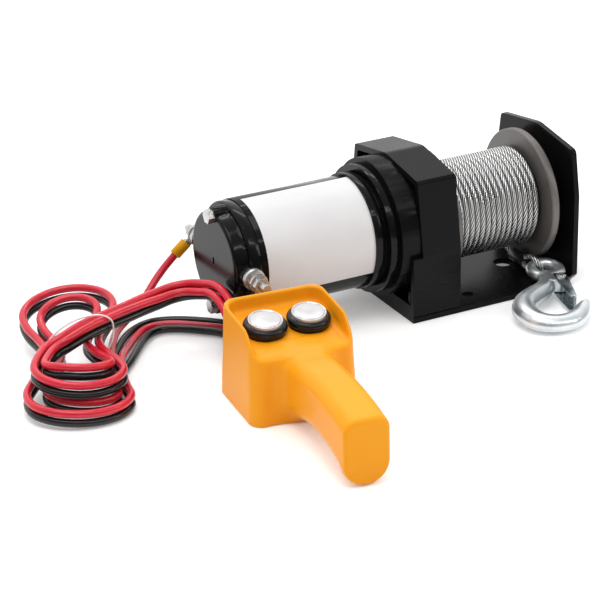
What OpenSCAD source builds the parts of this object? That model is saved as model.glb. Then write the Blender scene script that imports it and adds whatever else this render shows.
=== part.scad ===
// Electric recovery winch: motor, three-stage planetary gearbox, rope drum,
// steel frame, wire rope with a latched hook, and a wired pistol-grip handset.
// X runs along the shaft towards the drum, Y away from the operator, Z up.
// The origin is the centre of the mounting face under the frame.

/* [Frame] */
// Length of the base plate along the shaft
base_l = 136; // [130:0.5:144]
// Width of the base plate and of the end plate
frame_w = 105; // [102:0.5:110]
// Thickness of the bent steel plate
plate_t = 4; // [3:0.1:5]
// Height of the shaft above the mounting face
shaft_z = 56; // [55:0.5:60]
// Spacing of the mounting holes along the shaft
mount_x = 60; // [52:0.5:62]
// Spacing of the mounting holes across the shaft
mount_y = 72; // [70:0.5:80]
// Diameter of the mounting holes
mount_d = 8.5; // [7:0.1:9]

/* [Gearbox] */
// Length of the gear housing block along the shaft
house_l = 38; // [36:0.5:42]
// Outer diameter of the round boss of the housing
boss_d = 99; // [97:0.5:101]
// Tooth module of all gears
gear_m = 1.25; // [1.2:0.01:1.27]
// Face width of the first stage planets
stage1_w = 6; // [5:0.1:6]
// Face width of the second stage planets
stage2_w = 6.5; // [5.5:0.1:6.5]
// Face width of the third stage planets
stage3_w = 8; // [7:0.1:8]

/* [Motor] */
// Outer diameter of the motor tube
motor_d = 80; // [78:0.5:81]
// Length of the motor tube
motor_l = 86.7; // [82:0.1:100]
// Diameter of the end bell at its flat face
bell_d = 70; // [68:0.5:72]
// Diameter of the motor shaft
shaft_d = 10; // [8:0.5:11]

/* [Drum and rope] */
// Diameter of the drum flanges
flange_d = 96; // [90:0.5:98]
// Diameter of the drum barrel
barrel_d = 48; // [44:0.5:52]
// Diameter of the wire rope
rope_d = 4; // [3.6:0.1:4.2]
// Diameter over the outer layer of rope
layer_d = 72.4; // [68:0.2:74]

/* [Handset] */
// Width of the switch box at its base
box_w = 75; // [72:0.5:80]
// Depth of the switch box at its base
box_d = 66; // [62:0.5:70]
// Height of the rim round the button panel
box_h = 66; // [62:0.5:70]
// Distance between the two push buttons
button_pitch = 30.2; // [30:0.1:34]
// Diameter of the button caps
cap_d = 23; // [20:0.5:24]
// Travel of a push button
button_travel = 3; // [2:0.1:3.4]
// Width of the pistol grip
grip_w = 31; // [28:0.5:34]

/* [Leads] */
// Outer diameter of the battery and motor leads
lead_d = 5.5; // [5:0.1:5.8]

/* [Hidden] */
$fn = 64;
eps = 0.02;
run_gap = 0.05;
cut = 1;

// Frame
base_w = frame_w;
plate_x = base_l / 2;
corner_cut = 8;
shoulder_z = 68;
eave_y = frame_w / 2 - 5.7;
eave_z = 101.5;
ridge_z = 108.5;
eave_r = 4;
ridge_r = 26;
bend_r = 3;
centre_hole_d = 14;
centre_hole_x = 38;
mount_mid_x = 16;
bush_flange_t = 1.5;
hub_d = 24;
bush_od = 30;
bush_l = plate_t;

// Housing
house_x0 = -base_l / 2;
house_x1 = house_x0 + house_l;
house_top_x0 = house_x0 + 7.7;
house_side = frame_w / 2 + 0.5;
house_kink_z = 48;
house_eave_y = frame_w / 2 - 8;
house_eave_z = 101.7;
house_ridge_z = 108.9;
house_corner_r = 3;
house_wall = 4;
house_end_t = 4;
boss_x0 = house_x0 - 6.5;
pocket_depth = 24;
rib_t = 4;
bore_d = 90;

// Gears
sun_z = 15;
planet_z = 24;
ring_z = sun_z + 2 * planet_z;
pressure = 20;
backlash = 0.3;
tip_share = 0.92;
root_share = 1.25;
orbit_r = gear_m * (sun_z + planet_z) / 2;
planet_count = 3;
pin_d = 5;
carrier_r = orbit_r + 7;
carrier_t = 2.5;
carrier3_t = 3;
stage_gap = 0.5;
spigot_l = 3.5;
ring_x0 = boss_x0 + spigot_l;
ring_x1 = house_x1 - house_end_t - 1;
s1_x0 = ring_x0 + stage_gap;
c1_x0 = s1_x0 + stage1_w + stage_gap;
s2_x0 = c1_x0 + carrier_t + stage_gap;
c2_x0 = s2_x0 + stage2_w + stage_gap;
s3_x0 = c2_x0 + carrier_t + stage_gap;
c3_x0 = s3_x0 + stage3_w + stage_gap;
c3_x1 = c3_x0 + carrier3_t;
ratio = 1 + ring_z / sun_z;
hex_af = 14;
hex_l = 52;

// Motor
motor_wall = 3.5;
drive_flange_d = 83;
drive_flange_l = 6.5;
drive_ring_d = 92;
drive_ring_l = 7.2;
drive_neck_d = 80;
drive_l = 16.2;
motor_x1 = boss_x0 - drive_l;
motor_x0 = motor_x1 - motor_l;
motor_bore = motor_d - 2 * motor_wall;
bell_collar_l = 8;
bell_l = 18.1;
bell_x0 = motor_x0 - bell_l;
bell_round = 2.5;
bell_wall = 4;
bolt_r = 33.4;
bolt_d = 5;
bolt_head_af = 9;
bolt_head_t = 4.5;
ear_r = 6;
label_x0 = motor_x0 + 4.4;
label_x1 = motor_x1;
label_t = 0.3;
label_from = 88;
label_to = 207;
magnet_t = 5;
magnet_half = 62;
magnet_l = motor_l - 24.7;
magnet_x0 = motor_x0 + 20;
core_d = 59;
core_l = magnet_l - 8;
core_x0 = magnet_x0 + 4;
slot_count = 12;
slot_w = 4;
slot_depth = 11;
winding_r = 22;
winding_over = 7;
comm_d = 26;
comm_l = 14;
comm_x0 = motor_x0 - 0.5;
comm_bars = 24;
bearing_od = 22;
bearing_w = 7;
bell_bearing_x0 = bell_x0 + bell_wall + 1;
drive_bearing_x0 = motor_x1 + 1;
brush_x = comm_x0 + comm_l / 2;
brush_ring_t = 2;
brush_ring_x0 = comm_x0 - 3.5;
brush_w = 8;
brush_h = 7;
brush_r1 = 27;
term_x = bell_x0 + 10;
term_boss_r = 7.6;
term_stud_d = 6;
term_face = 40.2;
term_len = 62;
term_insulator_t = 2.4;
term_washer_d = 15;
term_washer_t = 1.4;
nut_af = 10;
nut_t = 4.6;
lug_t = 1.6;

// Drum
drum_x0 = house_x1 + 0.8;
flange_t = 6.2;
left_flange_t = 4;
drum_x1 = 55.3;
wind_x0 = drum_x0 + left_flange_t;
wind_x1 = drum_x1 - flange_t;
wrap_gap = 0.42;
wrap_pitch = rope_d + wrap_gap;
wrap_count = floor((wind_x1 - wind_x0 - rope_d) / wrap_pitch * 24) / 24;
rope_line_r = (layer_d - rope_d) / 2;
layer_gap = 0.4;
hub_right_x = plate_x + 2;
drum_bore_d = 17;
clutch_flange_d = 44;
clutch_flange_t = 7;
clutch_stem_d = 8;
clutch_travel = 6;
knob_d = 18;
knob_l = 16;
knob_x0 = plate_x + clutch_flange_t + 2.6;
knob_flutes = 18;
clutch_screw_r = 17.8;
clutch_screw_d = 4;

// Rope end and hook
tail_x = 43;
tail_r = layer_d / 2 + rope_d / 2 + 0.5;
ferrule_y = -13;
ferrule_z = 12.6;
ferrule_l = 14;
ferrule_d = 9.6;
ferrule_wide = 5;
eye_at = [46.4, -44];
eye_line_r = 10.3;
eye_wire_d = 8;
eye_z = 12.7;
hook_tilt = 4.9;
loop_x = 44.6;
latch_pivot = [44.4, -66.4];
latch_t = 1.2;
latch_gap = 5.3;
latch_len = 29;
latch_turn = -105.5;
rivet_d = 3.6;
latch_boss_r = 4.4;
// Centre line of the hook from the eye to the tip, and its half widths
hook_line = [[41.5, -53.5], [36.5, -60], [28, -66.5], [17, -71], [7.5, -77], [0.5, -86],
    [-1.5, -97], [2, -107], [11, -113], [22, -113.5], [31.5, -109], [38.5, -103], [43.5, -97], [46.5, -92]];
hook_half = [4.6, 4.8, 4.8, 5.4, 6.4, 7.3, 7.8, 8, 8, 7.6, 6.8, 5.6, 4.2, 2.6];
hook_high_share = 0.82;

// Handset, in its own frame: x right, y back, origin under the middle of the box
handset_at = [-196.2, -111.4];
handset_turn = -5.6;
box_draft = 0.04;
box_corner = 9;
shell_t = 2.5;
cover_t = 2.6;
cover_gap = 0.25;
panel_front_z = 46;
panel_slope = 8.6;
rim_wall = 3.6;
rim_high = 63.6;
rim_fall = [-34, -12];
collar_od = 29.4;
collar_h = 7.4;
button_y = 1;
switch_d = 20;
switch_l = 30;
cap_proud = 2.4;
cap_bore_gap = 0.15;
grip_end_y = -130;
grip_crown_z = 50.7;
grip_arch_z = 10;
grip_low_z = 0.3;
gland_z = 30;
panel_t = 3.2;
gland_x = -13;
gland_od = 21;
gland_l = 20;
screw_d = 3.5;
screw_head_d = 6.5;
screw_head_t = 2;
screw_inset = 8;

// Leads: the hank's outline and the bundle of four leads that goes through it
lead_step = lead_d + 1;
lead_sides = 6;
// Centre line of the bundle of four leads from inside the handset to the hank
arc_line = [[-207, -88.2, 30], [-204.7, -63, 30], [-204, -55.5, 30.4], [-203.6, -47, 34], [-203.6, -38.5, 40],
    [-204.2, -28, 43.4], [-205.2, -18, 43], [-208.5, -8, 40.6], [-215.5, 1, 38.4], [-226, 4.5, 36.8],
    [-238, 3, 35.6], [-250, 0, 35.2], [-263, -3.5, 34.4], [-277, -7, 33.8], [-290, -10.5, 33.2],
    [-303, -14.5, 31.8], [-315, -18.6, 29.6]];
hank_at = [-304, -8];
hank_turn = 72;
hank_half_l = 76;
hank_waist = 14;
hank_lobe = 68;
hank_round = 0.45;
hank_from = 106;
hank_to = 595;
hank_rings = 33;
hank_low_z = 6.35;
// Where the hank sinks: from an angle, over how many degrees, and how far
hank_drops = [[106, 95, 6.6], [300, 150, 8.2], [450, 120, 5]];
// How each lobe differs: its angles, easing in and out, then for the pair to the motor and for
// the pair to the battery what is added to its length and width, as a share, and its rise
hank_lobes = [[66, 285, 30, 30, [[-0.16, -0.1, 0], [-0.16, -0.1, 0]]],
    [90, 285, 80, 30, [[-0.05, -0.04, 8], [0, 0, 0]]],
    [255, 465, 30, 30, [[-0.16, -0.2, 9], [-0.02, -0.02, 8.5]]],
    [435, 610, 30, 90, [[-0.12, -0.1, 0], [0.03, 0.12, 0]]]];
// Leads on the floor after the hank, each to its own end
tail_red_motor = [[-290.5, -42, 9.6], [-285.5, -26, 9.6], [-278, -9, 9.6], [-271, 5, 9.5],
    [-263.5, 18.5, 8.2], [-255, 30, 7.2], [-245.5, 37.5, 8.6], [-236.5, 41.5, 13], [-228, 44.2, 20],
    [-219.3, 48, 27.6], [-210.8, 50.3, 34.9], [-201.6, 51.3, 42.6], [-197.1, 51.3, 46.4]];
tail_black_motor = [[-290.5, -42, 3.1], [-285.5, -26, 3.05], [-277.5, -9.5, 3.05],
    [-266, 8, 3.05], [-254.5, 22, 3.05], [-242.5, 31.5, 3.05], [-230, 35.8, 3.05],
    [-218, 33.5, 3.05], [-206, 27, 3.05], [-194, 17.5, 3.05], [-183, 6.5, 3.05],
    [-175.5, -6, 3.05], [-173.5, -20, 3.6], [-175.5, -33, 8],
    [-180, -43.5, 17], [-184, -49.6, 26.5], [-185.5, -51.3, 35], [-185.5, -51.3, 41]];
tail_red_battery = [[-284.2, -43.5, 9.6], [-279.2, -28.5, 9.6], [-271.5, -13, 8], [-260, 4, 4.4],
    [-249, 17.5, 3.05], [-238, 26.5, 3.05], [-227.5, 28.5, 3.05], [-216, 24.5, 3.05],
    [-204, 15, 3.05], [-192, 4.2, 3.05], [-183.5, -6.5, 3.05], [-181.3, -18, 3.05],
    [-181.8, -30, 3.5], [-182.5, -41, 4.2], [-182.5, -47, 4.2]];
tail_black_battery = [[-284.2, -43.5, 3.1], [-278.2, -29, 3.05], [-266.5, -15, 3.05],
    [-255, -0.5, 3.05], [-245, 11.5, 3.05], [-235, 19.5, 3.05], [-225.5, 20.5, 3.05],
    [-215, 15.5, 3.05], [-204, 6, 3.05], [-194.5, -4, 3.05], [-191, -15, 3.05],
    [-193.6, -26, 3.4], [-197.4, -35, 4], [-198, -41, 4.2], [-198, -47, 4.2]];
lug_bore = 6.5;
lug_r = 6.4;
lug_barrel_d = 5.4;
lug_neck = 15;
sleeve_d = 8.2;
sleeve_x0 = 9;
sleeve_l = 12;
floor_lug_z = 1.5;
floor_lug_y = -62;
back_lug_turn = 140.3;
// The tie's path round the waist of the hank: across it, and up
tie_line = [[2, 3.4], [13, 7.2], [19.3, 10.8], [21.4, 13.6], [24.4, 19], [26.6, 27], [26, 36.8],
    [18, 41.7], [5, 40.4], [-6, 35.4], [-15, 27.8], [-21.6, 18], [-23, 9.5], [-20, 3.6],
    [-12, 1.8], [-1, 1.5]];
tie_t = 1.2;

// Helpers

// Turns a shape drawn round +Z into one round the shaft, starting at x
module on_shaft(x) {
    translate([x, 0, shaft_z]) rotate([90, 0, 90]) children();
}

// A plain ring round the shaft
module shaft_ring(x0, x1, outer, inner) {
    on_shaft(x0) difference() {
        cylinder(h = x1 - x0, d = outer);
        translate([0, 0, -cut]) cylinder(h = x1 - x0 + 2 * cut, d = inner);
    }
}

// A plate in the YZ plane from an outline of [y, z] points
module yz_plate(x0, x1, outline) {
    translate([x0, 0, 0]) rotate([90, 0, 90]) linear_extrude(x1 - x0) polygon(outline);
}

function unit(v) = v / norm(v);
function bend(a, b) = a[0] * b[1] - a[1] * b[0];

// Rounds corner b between a and c with radius r, in n steps
function corner_arc(a, b, c, r, n) =
    r == 0 ? [b] :
    let (u = unit(a - b), v = unit(c - b), half = acos(max(-1, min(1, u * v))) / 2,
        centre = b + unit(u + v) * r / sin(half),
        p = b + u * r / tan(half), q = b + v * r / tan(half),
        a0 = atan2(p[1] - centre[1], p[0] - centre[0]),
        a1 = atan2(q[1] - centre[1], q[0] - centre[0]),
        turn = a1 - a0 > 180 ? a1 - a0 - 360 : a1 - a0 < -180 ? a1 - a0 + 360 : a1 - a0)
    [for (i = [0:n]) centre + r * [cos(a0 + turn * i / n), sin(a0 + turn * i / n)]];

function rounded(points, radii, n = 5) = [for (i = [0:len(points) - 1])
    each corner_arc(points[(i + len(points) - 1) % len(points)], points[i],
        points[(i + 1) % len(points)], radii[i], n)];

function mirrored(points) = concat(points,
    [for (i = [len(points) - 1:-1:0]) if (points[i][0] != 0) [-points[i][0], points[i][1]]]);

// Involute gear outline: radius and half angle of a tooth at radius r
function inv(a) = tan(a) * 180 / PI - a;
function half_tooth(z, r, thick) =
    let (rb = gear_m * z / 2 * cos(pressure), a = r > rb ? acos(rb / r) : 0)
    thick / (gear_m * z) * 180 / PI + inv(pressure) - inv(a);
function gear_outline(z, tip, root, thick) =
    let (rb = gear_m * z / 2 * cos(pressure), rp = gear_m * z / 2,
        rt = rp + tip * gear_m, rr = rp - root * gear_m, r0 = max(rb, rr),
        rs = [rr, r0 + eps, (r0 + rt) / 2, rt])
    [for (k = [0:z - 1], s = [-1, 1], i = [0:3])
        let (r = s < 0 ? rs[i] : rs[3 - i], a = k * 360 / z + s * half_tooth(z, max(r, r0), thick))
        r * [cos(a), sin(a)]];
tooth_t = PI * gear_m / 2 - backlash / 2;
space_t = PI * gear_m / 2 + backlash / 2;

module spur(z, w, turn) {
    rotate([0, 0, turn]) linear_extrude(w) polygon(gear_outline(z, tip_share, root_share, tooth_t));
}

// Tube swept along points, with a ring of n sides at each, turned as little as may be
function path_dir(p, i) = unit(p[min(i + 1, len(p) - 1)] - p[max(i - 1, 0)]);
function next_side(side, d) = unit(side - d * (side * d));
function path_sides(p, first) = [for (i = 0, s = next_side(first, path_dir(p, 0)); i < len(p);
    i = i + 1, s = i < len(p) ? next_side(s, path_dir(p, i)) : s) s];
function tube_faces(rings, n) = concat([[for (k = [0:n - 1]) k]],
    [for (i = [0:rings - 2], k = [0:n - 1], h = [0, 1])
        let (a = i * n + k, b = i * n + (k + 1) % n)
        h == 0 ? [a, a + n, b] : [b, a + n, b + n]],
    [[for (k = [n - 1:-1:0]) (rings - 1) * n + k]]);
module tube(p, d, n, first = [0, 0, 1]) {
    sides = path_sides(p, first);
    points = [for (i = [0:len(p) - 1], k = [0:n - 1])
        let (u = sides[i], v = cross(path_dir(p, i), u), a = (k + 0.5) * 360 / n)
        p[i] + d / 2 * (cos(a) * u + sin(a) * v)];
    polyhedron(points, tube_faces(len(p), n));
}

module hex(af, h) {
    cylinder(h = h, d = af / cos(30), $fn = 6);
}

// Frame: one steel plate bent up into the drum's end plate
end_outline = let (half = frame_w / 2) rounded(mirrored([
    [half - corner_cut - 0.7, 0], [half, corner_cut], [half, shoulder_z], [eave_y, eave_z], [0, ridge_z]]),
    [0, 2, 12, eave_r, ridge_r, eave_r, 12, 2, 0]);
base_outline = let (half = base_w / 2) [[-plate_x, -half], [plate_x - corner_cut, -half],
    [plate_x, corner_cut - half], [plate_x, half - corner_cut], [plate_x - corner_cut, half],
    [-plate_x, half]];
foot_screw_x = house_x0 + 19;
foot_screw_y = frame_w / 2 - 8.5;
foot_screw_d = 5;
foot_head_d = 9.4;
foot_head_t = 2.4;
foot_screw_l = 14;

module frame_bracket() {
    color([0.06, 0.06, 0.07]) difference() {
        union() {
            linear_extrude(plate_t) polygon(base_outline);
            yz_plate(plate_x - plate_t, plate_x, end_outline);
            translate([plate_x - plate_t - bend_r, eave_y - bend_r, plate_t]) rotate([90, 0, 0])
                linear_extrude(2 * (eave_y - bend_r)) polygon([[bend_r + 1, -1], [-1, -1],
                    for (a = [0:15:90]) [bend_r * sin(a), bend_r - bend_r * cos(a)],
                    [bend_r + 1, bend_r]]);
        }
        for (sx = [-1, 1], sy = [-1, 1])
            translate([mount_mid_x + sx * mount_x / 2, sy * mount_y / 2, -cut])
                cylinder(h = plate_t + 2 * cut, d = mount_d);
        translate([centre_hole_x, 0, -cut]) cylinder(h = plate_t + 2 * cut, d = centre_hole_d);
        for (sx = [-1, 1], sy = [-1, 1]) foot_place(sx, sy) {
            cylinder(h = plate_t + 2 * cut, d = foot_screw_d + 2 * run_gap);
            cylinder(h = foot_head_t + 2 * run_gap + cut, d = foot_head_d + 2 * run_gap);
        }
        on_shaft(plate_x - plate_t - cut) {
            cylinder(h = plate_t + 2 * cut, d = bush_od);
            for (k = [0:2]) rotate([0, 0, 90 + k * 120]) translate([clutch_screw_r, 0, 0])
                cylinder(h = plate_t + 2 * cut, d = clutch_screw_d);
        }
    }
}

foot_pitch = 22;
module foot_place(sx, sy) {
    translate([foot_screw_x + sx * foot_pitch / 2, sy * foot_screw_y, -cut]) children();
}

module housing_screws() {
    color([0.2, 0.2, 0.21]) for (sx = [-1, 1], sy = [-1, 1])
        foot_place(sx, sy) translate([0, 0, cut + run_gap]) {
            cylinder(h = foot_head_t, d = foot_head_d);
            cylinder(h = foot_screw_l, d = foot_screw_d);
        }
}

// Gear housing: a cored aluminium casting
house_outline = rounded(mirrored([[house_side - 0.5, plate_t], [house_side, house_kink_z],
    [house_eave_y, house_eave_z], [0, house_ridge_z]]),
    [1.5, 20, house_corner_r, 16, house_corner_r, 20, 1.5]);
core_outline = rounded(mirrored([[house_side - house_wall, plate_t + house_wall + 4],
    [house_side - house_wall, house_kink_z],
    [house_eave_y - house_wall, house_eave_z - house_wall], [0, house_ridge_z - house_wall]]),
    [2, 20, 2, 16, 2, 20, 2]);

module gear_housing() {
    color([0.07, 0.07, 0.08]) difference() {
        union() {
            yz_plate(house_top_x0, house_x1, house_outline);
            intersection() {
                yz_plate(house_x0, house_top_x0 + eps, house_outline);
                translate([house_x0 - cut, -frame_w, 0])
                    cube([house_l, 2 * frame_w, house_kink_z]);
            }
            on_shaft(boss_x0) cylinder(h = house_l, d = boss_d);
        }
        pocket_space();
        on_shaft(boss_x0 - cut) {
            cylinder(h = ring_x1 - boss_x0 + 1 + cut, d = bore_d);
            cylinder(h = house_l * 2, d = bush_od);
        }
        for (sx = [-1, 1], sy = [-1, 1]) foot_place(sx, sy)
            translate([0, 0, plate_t]) cylinder(h = foot_screw_l - plate_t + 2 * cut, d = foot_screw_d);
    }
}

// The cored pockets between the outer wall and the round gear case
module pocket_space() {
    difference() {
        yz_plate(house_x0 - cut, house_x0 + pocket_depth, core_outline);
        on_shaft(boss_x0 - cut) cylinder(h = house_l * 2, d = boss_d);
        translate([house_x0 - cut, -frame_w / 2, shaft_z - rib_t / 2])
            cube([house_l, frame_w, rib_t]);
        for (sx = [-1, 1], sy = [-1, 1]) foot_place(sx, sy) cylinder(h = 22, d = 13);
        translate([house_x0 - 2 * cut, -boss_d / 4, 0]) cube([house_l, boss_d / 2, shaft_z]);
    }
}

module ring_gear() {
    color([0.45, 0.45, 0.47]) on_shaft(ring_x0) difference() {
        cylinder(h = ring_x1 - ring_x0, d = bore_d - 2 * run_gap);
        translate([0, 0, -cut]) rotate([0, 0, 180 / ring_z]) linear_extrude(ring_x1 - ring_x0 + 2 * cut)
            polygon(gear_outline(ring_z, root_share, tip_share, space_t));
    }
}

// Motor shells
module motor_drive_end() {
    color([0.06, 0.06, 0.065]) difference() {
        union() {
            on_shaft(motor_x1) cylinder(h = drive_l, d = drive_neck_d);
            on_shaft(motor_x1) cylinder(h = drive_flange_l, d = drive_flange_d);
            on_shaft(boss_x0 - drive_ring_l) cylinder(h = drive_ring_l, d = drive_ring_d);
            on_shaft(boss_x0 - eps) cylinder(h = spigot_l, d = bore_d - 2 * run_gap);
        }
        on_shaft(motor_x1 - cut) cylinder(h = bearing_w + 2 * cut, d = bearing_od);
        on_shaft(motor_x1) cylinder(h = 2 * drive_l, d = shaft_d + 2);
        on_shaft(boss_x0 - 3) cylinder(h = 2 * spigot_l + 3, d = bore_d - 8);
        for (s = [-1, 1]) on_shaft(motor_x1 - cut) translate([0, s * bolt_r, 0])
            cylinder(h = 9 + cut, d = bolt_d);
    }
}

module motor_tube() {
    color([0.05, 0.05, 0.055]) shaft_ring(motor_x0, motor_x1, motor_d, motor_bore);
}

module motor_label() {
    color([0.93, 0.93, 0.93]) on_shaft(label_x0) rotate([0, 0, label_from])
        rotate_extrude(angle = label_to - label_from)
            translate([motor_d / 2 + eps, 0]) square([label_t, label_x1 - label_x0]);
}

module motor_magnets() {
    color([0.22, 0.22, 0.23]) for (s = [0, 180]) on_shaft(magnet_x0)
        rotate([0, 0, s - magnet_half]) rotate_extrude(angle = 2 * magnet_half)
            translate([motor_bore / 2 - magnet_t - run_gap, 0]) square([magnet_t, magnet_l]);
}

module end_bell() {
    color([0.05, 0.05, 0.055]) difference() {
        union() {
            on_shaft(bell_x0) rotate_extrude() polygon(concat([[0, 0]],
                [for (a = [-90:18:0]) [bell_d / 2 - bell_round + bell_round * cos(a),
                    bell_round + bell_round * sin(a)]],
                [[bell_d / 2 + 1, bell_l - bell_collar_l], [motor_d / 2 - 1.6, bell_l - bell_collar_l],
                [motor_d / 2 - 0.4, bell_l - bell_collar_l + 1.4], [motor_d / 2 - 0.4, bell_l],
                [motor_bore / 2 - run_gap, bell_l], [motor_bore / 2 - run_gap, bell_l + 4],
                [0, bell_l + 4]]));
            for (s = [-1, 1]) {
                on_shaft(bell_x0) translate([0, s * bolt_r, 0]) cylinder(h = bell_l, r = ear_r);
                translate([term_x, 0, shaft_z]) rotate([s * 90, 0, 0])
                    cylinder(h = term_face, r = term_boss_r);
            }
        }
        on_shaft(bell_x0 + bell_wall) cylinder(h = 2 * bell_l, d = bearing_od);
        on_shaft(bell_x0 + bell_wall + bearing_w + 1) cylinder(h = 2 * bell_l, d = motor_bore - 12);
        on_shaft(motor_x0 - 1) cylinder(h = 8, d = motor_bore - 6);
        translate([bell_x0 - cut, -1.2, shaft_z - 2.5]) cube([cut + 1.5, 2.4, 5]);
        for (s = [-1, 1]) {
            on_shaft(bell_x0 - cut) translate([0, s * bolt_r, 0])
                cylinder(h = 2 * bell_l, d = bolt_d + 2 * run_gap);
            translate([term_x, 0, shaft_z]) rotate([s * 90, 0, 0]) translate([0, 0, bearing_od / 2 + 2])
                cylinder(h = term_face, d = term_stud_d + 2 * run_gap);
        }
    }
}

module through_bolts() {
    color([0.72, 0.71, 0.68]) for (s = [-1, 1]) translate([0, 0, s * bolt_r]) {
        on_shaft(bell_x0) cylinder(h = motor_x1 + 8 - bell_x0, d = bolt_d);
        on_shaft(bell_x0 - bolt_head_t) hex(bolt_head_af, bolt_head_t);
    }
}

module motor_bearings() {
    color([0.6, 0.6, 0.62]) {
        shaft_ring(drive_bearing_x0, drive_bearing_x0 + bearing_w, bearing_od, shaft_d + 2 * run_gap);
        shaft_ring(bell_bearing_x0, bell_bearing_x0 + bearing_w, bearing_od, shaft_d + 2 * run_gap);
    }
}

// Brush plate with two holders, and the carbon brushes bearing on the commutator
module brush_gear() {
    color([0.35, 0.28, 0.2]) difference() {
        union() {
            shaft_ring(brush_ring_x0, brush_ring_x0 + brush_ring_t, motor_bore - 12 - 2 * run_gap, comm_d + 5);
            for (s = [-1, 1]) translate([brush_ring_x0 + brush_ring_t - eps, s > 0 ? comm_d / 2 + 3 : -brush_r1,
                shaft_z - brush_w / 2 - 1.5])
                cube([brush_x + brush_h / 2 + 1.5 - brush_ring_x0 - brush_ring_t,
                    brush_r1 - comm_d / 2 - 3, brush_w + 3]);
        }
        for (s = [-1, 1]) translate([brush_x - brush_h / 2 - run_gap, s > 0 ? 0 : -motor_d,
            shaft_z - brush_w / 2 - run_gap])
            cube([brush_h + 2 * run_gap, motor_d, brush_w + 2 * run_gap]);
    }
    color([0.12, 0.12, 0.12]) for (s = [-1, 1]) difference() {
        translate([brush_x - brush_h / 2, s > 0 ? 0 : -brush_r1 + 3, shaft_z - brush_w / 2])
            cube([brush_h, brush_r1 - 3, brush_w]);
        on_shaft(comm_x0 - cut) cylinder(h = comm_l + 2 * cut, d = comm_d + 2 * run_gap);
    }
}

// Terminals stand out of the bell to the front and to the back
module terminal_at(s) {
    translate([term_x, 0, shaft_z]) rotate([s * 90, 0, 0]) children();
}

module terminal_studs() {
    color([0.75, 0.74, 0.7]) for (s = [-1, 1]) terminal_at(s)
        translate([0, 0, bearing_od / 2 + 3]) cylinder(h = term_len - bearing_od / 2 - 3, d = term_stud_d);
}

lug_z = term_face + term_insulator_t + term_washer_t + nut_t;
module terminal_hardware() {
    for (s = [-1, 1]) terminal_at(s) {
        color([0.88, 0.85, 0.78]) ring_part(term_face, term_insulator_t, term_boss_r, term_stud_d);
        color([0.75, 0.74, 0.7]) {
            ring_part(term_face + term_insulator_t, term_washer_t, term_washer_d / 2, term_stud_d);
            nut_part(term_face + term_insulator_t + term_washer_t);
            nut_part(lug_z + lug_t);
        }
    }
}

module ring_part(z, t, r, bore) {
    translate([0, 0, z]) difference() {
        cylinder(h = t, r = r);
        translate([0, 0, -cut]) cylinder(h = t + 2 * cut, d = bore + 2 * run_gap);
    }
}

module nut_part(z) {
    translate([0, 0, z]) difference() {
        hex(nut_af, nut_t);
        translate([0, 0, -cut]) cylinder(h = nut_t + 2 * cut, d = term_stud_d + 2 * run_gap);
    }
}

// Drum, its bushes and the clutch at the end plate
module drum_bushes() {
    color([0.7, 0.55, 0.3]) {
        shaft_ring(house_x1 - house_end_t, house_x1, bush_od, hub_d + 2 * run_gap);
        shaft_ring(plate_x - bush_l, plate_x, bush_od, hub_d + 2 * run_gap);
        shaft_ring(plate_x - bush_l - bush_flange_t, plate_x - bush_l, bush_od + 4, hub_d + 2 * run_gap);
    }
}

module clutch_housing() {
    color([0.06, 0.06, 0.065]) on_shaft(plate_x) difference() {
        union() {
            cylinder(h = clutch_flange_t, d = clutch_flange_d);
            cylinder(h = clutch_flange_t + 2, d = knob_d - 2);
        }
        translate([0, 0, -cut]) cylinder(h = knob_l, d = clutch_stem_d + 2 * run_gap);
        translate([0, 0, -cut]) cylinder(h = cut + 3, d = hub_d + 1);
        for (k = [0:2]) rotate([0, 0, 90 + k * 120]) translate([clutch_screw_r, 0, -cut])
            cylinder(h = clutch_flange_t + 2 * cut, d = clutch_screw_d + 2 * run_gap);
    }
}

module clutch_screws() {
    color([0.7, 0.7, 0.7]) on_shaft(plate_x - plate_t) for (k = [0:2]) rotate([0, 0, 90 + k * 120])
        translate([clutch_screw_r, 0, 0]) {
            cylinder(h = plate_t + clutch_flange_t, d = clutch_screw_d);
            translate([0, 0, plate_t + clutch_flange_t]) hex(7, 3);
        }
}

module clutch_knob() {
    color([0.1, 0.1, 0.1]) difference() {
        union() {
            on_shaft(knob_x0) cylinder(h = knob_l, d = knob_d);
            on_shaft(plate_x - 12) cylinder(h = knob_x0 - plate_x + 12 + eps, d = clutch_stem_d);
        }
        on_shaft(knob_x0 + 2) for (k = [0:knob_flutes - 1]) rotate([0, 0, k * 360 / knob_flutes])
            translate([knob_d / 2 + 0.3, 0, 0]) cylinder(h = knob_l - 4, d = 2, $fn = 16);
    }
}

module drum() {
    color([0.42, 0.4, 0.38]) difference() {
        union() {
            on_shaft(drum_x0) cylinder(h = left_flange_t, d = flange_d);
            on_shaft(drum_x0) cylinder(h = drum_x1 - drum_x0, d = barrel_d);
            on_shaft(wind_x1) rotate_extrude($fn = 96) polygon([[0, 0], [flange_d / 2 - 1, 0],
                [flange_d / 2, 1], [flange_d / 2, flange_t - 1], [flange_d / 2 - 1, flange_t], [0, flange_t]]);
            on_shaft(house_x1 - house_end_t) cylinder(h = house_end_t + 2, d = hub_d);
            on_shaft(drum_x1 - cut) cylinder(h = hub_right_x - drum_x1 + cut, d = hub_d);
        }
        on_shaft(drum_x1 - 20) cylinder(h = hub_l_cut, d = drum_bore_d);
        on_shaft(house_x1 - house_end_t - cut) hex(hex_af + 2 * run_gap, hex_l + 6);
    }
}
hub_l_cut = 40;

module rope_inner_layers() {
    color([0.5, 0.5, 0.5]) shaft_ring(wind_x0 + 0.2, wind_x1 - 0.2,
        layer_d - 2 * rope_d - 2 * layer_gap, barrel_d);
}

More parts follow.
